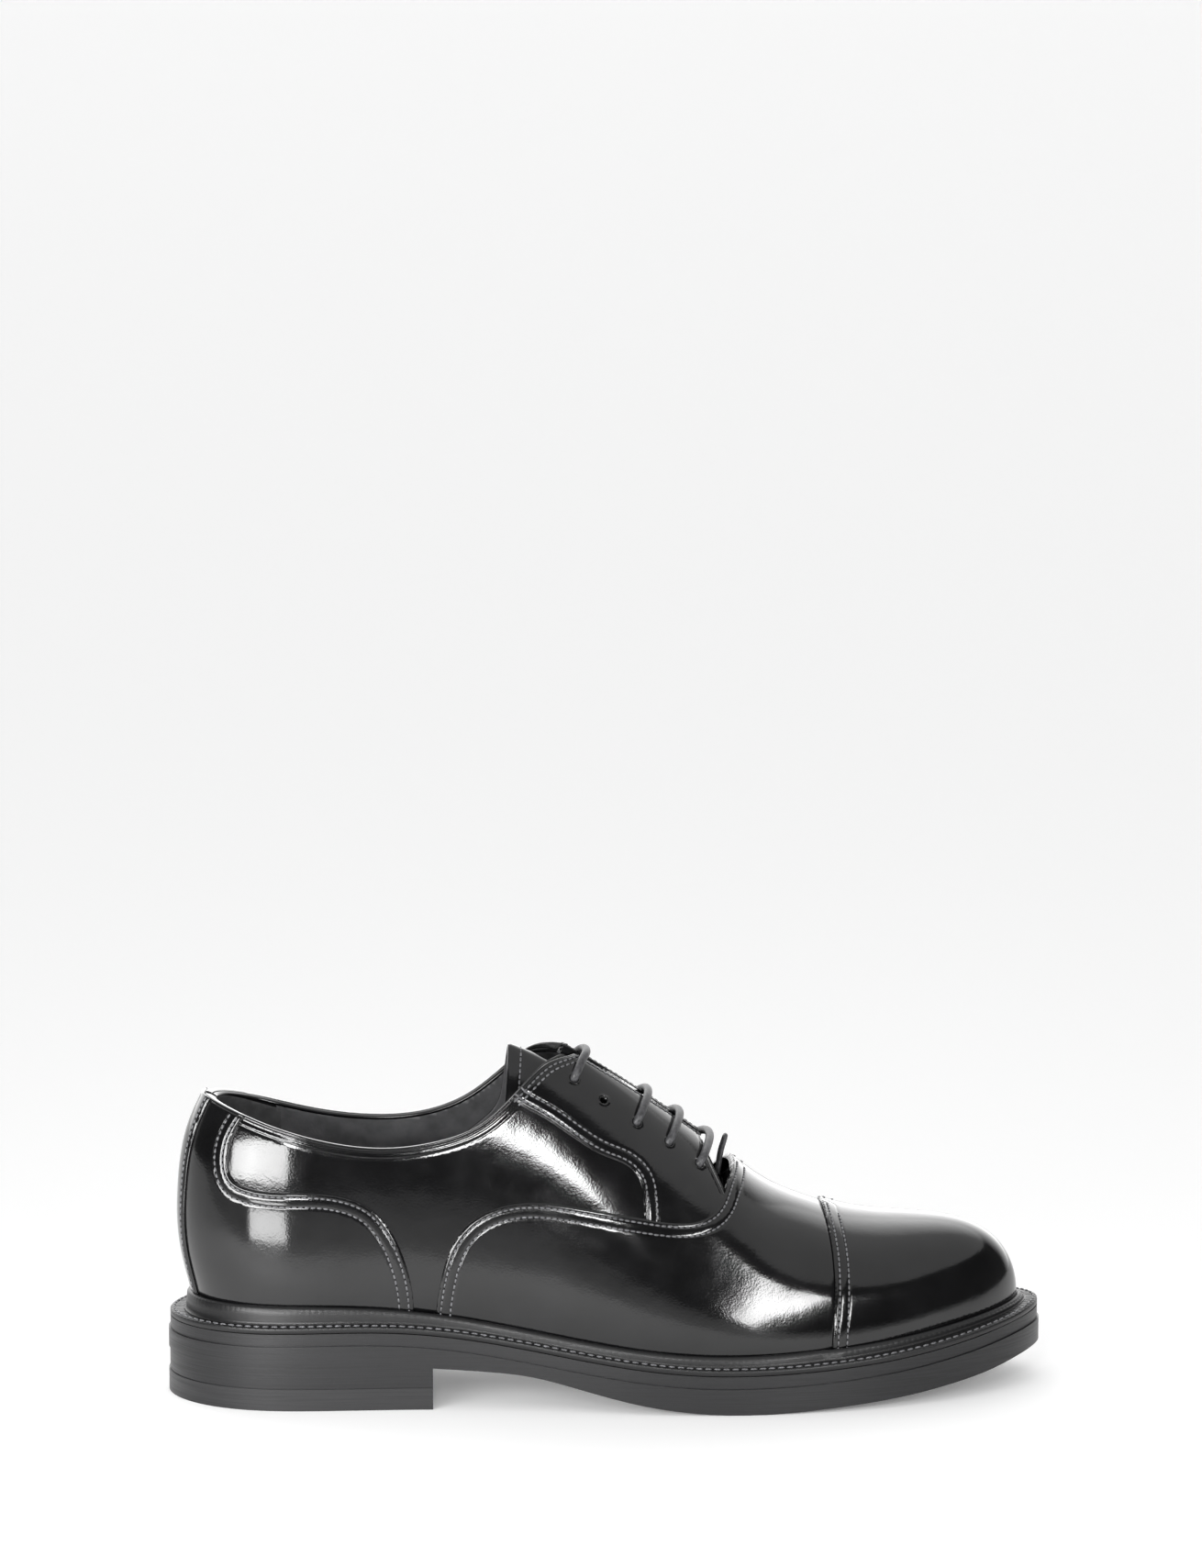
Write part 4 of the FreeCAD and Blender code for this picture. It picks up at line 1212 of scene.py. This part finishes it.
rows = []
for chain, row, node in stitch_lines:
    topline = TOPLINES["medial" in node]
    for at, t, up in seam_places(chain, row, node):
        inside = (at[:, 0] > COLLAR_FRONT) | (side_value(at, topline) > COLLAR_ROOM)
        rows.append((at[inside], t[inside], up[inside]))
at, t, up = [np.vstack(group) for group in zip(*rows)]
piece = place_beads("upper_stitching", at + up * STITCH_LIFT, t, up, STITCH, sewing)
finished(piece, "shoe", "upper_leather")
# dark beads between the stitches: painted shade of the needle holes
piece = place_beads("stitch_hole_shade_dots", at + t * STITCH_PITCH / 2, t, up, HOLE, painted_hole_shade, 6, 4)
finished(piece, "shoe", "upper_leather")


def tongue_row(row):
    """Places of the seam along the tongue's edge, found square to the shoe's long plane."""
    line = EDGES["tongue"].dense(0.5)
    run = unit(np.gradient(line, axis=0))
    line = line + np.stack([run[:, 1], -run[:, 0]], -1) * row
    tree = surface_tree(panels["tongue"])
    rows = []
    for side in (-1, 1):
        hits = [tree.ray_cast(Vector((x, 80.0 * side, z)), Vector((0, -side, 0))) for x, z in line]
        found = [list(h[0]) + list(h[1]) for h in hits if h[0] is not None]
        columns, _ = even(np.array(found), STITCH_PITCH)
        at, up = columns[:, :3], unit(columns[:, 3:])
        rows.append((at, unit(np.gradient(at, axis=0)), up))
    return [np.vstack(group) for group in zip(*rows)]


at, t, up = tongue_row(TONGUE_SEAM)
piece = place_beads("tongue_stitching", at + up * STITCH_LIFT, t, squared(up, t), STITCH, sewing)
finished(piece, "tongue", "upper_leather")

line = base + out * np.maximum(room - 1.35, 3.7 * squeeze)[:, None]
line[:, 2] = top + 0.06
row = np.hstack([line, out])
columns, _ = even(np.vstack([row, row[:1]]), WELT_PITCH)
at, side_way = columns[:-1, :3], unit(columns[:-1, 3:])
t = unit(np.roll(at, -1, 0) - np.roll(at, 1, 0))
up = unit(np.cross(side_way, t))
up = up * np.sign(up[:, 2:])
piece = place_beads("welt_stitching", at, t, up, WELT_STITCH, sewing)
finished(piece, "shoe", "welt_leather")


# ================================================================ lace
def through(x, angle):
    """Where the lace's middle line stands under and over one eyelet."""
    u = np.interp(x, last.x, last.u)
    spot = np.array([[u, angle]])
    return on_skin(spot, UNDER_LACE)[0], on_skin(spot, ON_LACE)[0]


def spots(height, *places):
    """Places at a height above the skin, from (x, angle)."""
    chain = np.array([(np.interp(x, last.x, last.u), angle) for x, angle in places])
    return list(on_skin(chain, height))


def bar(row):
    """Route of the lace over the facings, from the outer side's eyelet to the other."""
    x, a = EYELETS[row]
    near_under, near_over = through(x, a)
    far_under, far_over = through(x, 180 - a)
    over = spots(ON_LACE, (x + 2.4, a + 10), (x + 4.2, 84), (x + 4.2, 96), (x + 2.4, 170 - a))
    return [near_under, near_over] + over + [far_over, far_under]


def below(*places):
    """Places of the lace under the facings."""
    return spots(UNDER_LACE, *places)


LACE_ROUTE = (
    below((-32, 147), (-18, 142), (-5, 134), (6, 126))
    + bar(3)[::-1] + bar(4)
    + below((25, 109), (14.5, 109)) + bar(2)[::-1]
    + below((4, 73), (-7, 73)) + bar(0)
    + below((-7, 121), (-10, 129), (-20, 134), (-33, 138))
)


def nurbs_line(name, route):
    """Points along the smooth spline that follows a route."""
    curve = bpy.data.curves.new(name, "CURVE")
    curve.dimensions = "3D"
    curve.resolution_u = 24
    spline = curve.splines.new("NURBS")
    spline.points.add(len(route) - 1)
    for point, place in zip(spline.points, route):
        point.co = (*(np.asarray(place) * MM), 1.0)
    spline.order_u = 3
    spline.use_endpoint_u = True
    holder = bpy.data.objects.new(name, curve)
    bpy.context.scene.collection.objects.link(holder)
    bpy.context.view_layer.update()
    mesh = bpy.data.meshes.new_from_object(holder)
    line = np.array([v.co for v in mesh.vertices]) / MM
    bpy.data.objects.remove(holder)
    bpy.data.meshes.remove(mesh)
    return line


def turning_frames(line):
    """Two directions square to a line that turn as little as possible along it."""
    t = unit(np.gradient(line, axis=0))
    a = np.zeros_like(t)
    a[0] = unit(np.cross(t[0], (0.3, 0.2, 0.9)))
    for i in range(1, len(line)):
        a[i] = unit(a[i - 1] - (a[i - 1] @ t[i]) * t[i])
    return a, np.cross(t, a)


BRAID_STRANDS = 4
BRAID_PITCH = 5.0


def braided(name, route, radius, material):
    """Round cord with its braid's strands crossing both ways."""
    line, s = even(nurbs_line(name + "_route", route), 0.22)
    a, b = turning_frames(line)
    turn = np.linspace(0, 2 * math.pi, 28, endpoint=False)
    phase = 2 * math.pi * s[:, None] / BRAID_PITCH
    one = np.abs(np.sin(BRAID_STRANDS * turn + phase * BRAID_STRANDS / 2))
    two = np.abs(np.sin(BRAID_STRANDS * turn - phase * BRAID_STRANDS / 2))
    r = radius * (0.93 + 0.09 * np.maximum(one, two) ** 1.5)
    shape = np.stack([r * np.cos(turn), r * np.sin(turn)], -1)
    return swept(name, line, a, b, shape, material)


piece = braided("waxed_lace", LACE_ROUTE, LACE_RADIUS, waxed)
finished(piece, "shoe", "waxed_cord", "lace")


# ================================================================ floor, light and camera
FLOOR_HALF = 300000.0
PAPER_FRONT = -275.0
PAPER_FADE = 20.0
# the floor's glow is painted light: it lifts the shoe's shadow on the floor
FLOOR_GLOW = 0.16
PAPER_TONE = 0.93
# darker grey of the floor beyond the paper's front edge: painted shade where less light falls
FRONT_SHADE_TONE = 0.45
SKY_SPAN = (0.07, 3.1)
SKY_GLOW = (0.45, 0.98)
SUN_STRENGTH = 1.22
SUN_BREADTH = math.radians(104)
SUN_LEAN = math.radians(-6)
CAMERA_AT = (-0.1354, -1.936, 0.4838)
CAMERA_HEADING = math.radians(3.94)
CAMERA_PITCH = math.radians(8.03)
CAMERA_LENS = 131.07


def floor_material():
    """White paper that glows a little, painted light that lifts the shoe's shadow on it; beyond its front
    edge the floor turns a darker grey, painted shade where less light falls.
    """
    material, tree, shader = nodes_of("paper_painted_glow_and_shade")
    where = tree.nodes.new("ShaderNodeTexCoord")
    split = tree.nodes.new("ShaderNodeSeparateXYZ")
    link(tree, where, "Object", split, "Vector")
    near, far = (PAPER_FRONT - PAPER_FADE) * MM, (PAPER_FRONT + PAPER_FADE) * MM
    front_shade_fade = ramp(tree, split, "Y", 0.0, 1.0, near, far)
    colours = tree.nodes.new("ShaderNodeValToRGB")
    colours.color_ramp.elements[0].color = (*[FRONT_SHADE_TONE] * 3, 1)
    colours.color_ramp.elements[1].color = (*[PAPER_TONE] * 3, 1)
    link(tree, front_shade_fade, "Result", colours, "Fac")
    link(tree, colours, "Color", shader, "Base Color")
    link(tree, colours, "Color", shader, "Emission Color")
    shader.inputs["Emission Strength"].default_value = FLOOR_GLOW
    shader.inputs["Roughness"].default_value = 0.8
    shader.inputs["Specular IOR Level"].default_value = 0.1
    return material


corners = [(-FLOOR_HALF, -FLOOR_HALF, 0), (FLOOR_HALF, -FLOOR_HALF, 0),
           (FLOOR_HALF, FLOOR_HALF, 0), (-FLOOR_HALF, FLOOR_HALF, 0)]
floor = mesh_object("pale_floor", corners, [[0, 1, 2, 3]], floor_material(), smooth=False)
floor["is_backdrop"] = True

world = bpy.data.worlds.new("studio")
bpy.context.scene.world = world
world.use_nodes = True
sky = world.node_tree
where = sky.nodes.new("ShaderNodeTexCoord")
split = sky.nodes.new("ShaderNodeSeparateXYZ")
link(sky, where, "Generated", split, "Vector")
glow = ramp(sky, split, "Y", *SKY_SPAN, *SKY_GLOW)
link(sky, glow, "Result", sky.nodes["Background"], "Strength")
sky.nodes["Background"].inputs["Color"].default_value = (1.0, 1.0, 1.0, 1)

sun_data = bpy.data.lights.new("overhead_sun", "SUN")
sun_data.energy = SUN_STRENGTH
sun_data.angle = SUN_BREADTH
sun = bpy.data.objects.new("overhead_sun", sun_data)
sun.rotation_euler = (SUN_LEAN, 0, 0)
bpy.context.scene.collection.objects.link(sun)


def heading(azimuth, elevation):
    """Unit direction: azimuth 0 looks out from the outer side, 90 out over the toe."""
    a, e = math.radians(azimuth), math.radians(elevation)
    return Vector((math.sin(a) * math.cos(e), -math.cos(a) * math.cos(e), math.sin(e)))


def softbox(name, seen_from, start, end, breadth, distance, spread, radiance):
    """Long soft light that a point of the shoe sees between two directions."""
    spot = Vector(seen_from) * MM
    a, b = heading(*start), heading(*end)
    middle = (a + b).normalized()
    along = (b - a).normalized()
    half = a.angle(b) / 2
    data = bpy.data.lights.new(name, "AREA")
    data.shape = "RECTANGLE"
    data.size = 2 * distance * math.tan(half)
    data.size_y = 2 * distance * math.tan(math.radians(breadth) / 2)
    beam = math.radians(spread) / 2
    gain = math.tan(beam) / (math.tan(beam) - beam)
    data.spread = 2 * beam
    data.energy = math.pi * data.size * data.size_y * radiance / gain
    lamp = bpy.data.objects.new(name, data)
    turn = Matrix((along, middle.cross(along), middle)).transposed()
    lamp.matrix_world = Matrix.Translation(spot + middle * distance) @ turn.to_4x4()
    bpy.context.scene.collection.objects.link(lamp)


softbox("heel_light", (-112, -25, 78), (-57, 7.5), (-8, 7.5), 13, 0.4, 120, 19)
softbox("foxing_light", (-112, -28, 60), (-36, -5), (-9, -5), 10, 0.22, 120, 12)
softbox("facing_light", (-25, -28, 88), (-12, 21), (-5, 21), 12, 1.3, 90, 32)
softbox("ball_light", (54, -42, 33), (12, 1), (42, 33), 6, 1.0, 100, 24)

eye = bpy.data.cameras.new("camera")
eye.lens = CAMERA_LENS
eye.sensor_width = 36.0
eye.clip_end = 500.0
camera = bpy.data.objects.new("camera", eye)
camera.location = CAMERA_AT
camera.rotation_mode = "XYZ"
camera.rotation_euler = (math.pi / 2 - CAMERA_PITCH, 0.0, -CAMERA_HEADING)
bpy.context.scene.collection.objects.link(camera)
bpy.context.scene.camera = camera
bpy.context.scene.view_settings.view_transform = "Standard"

low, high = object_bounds()
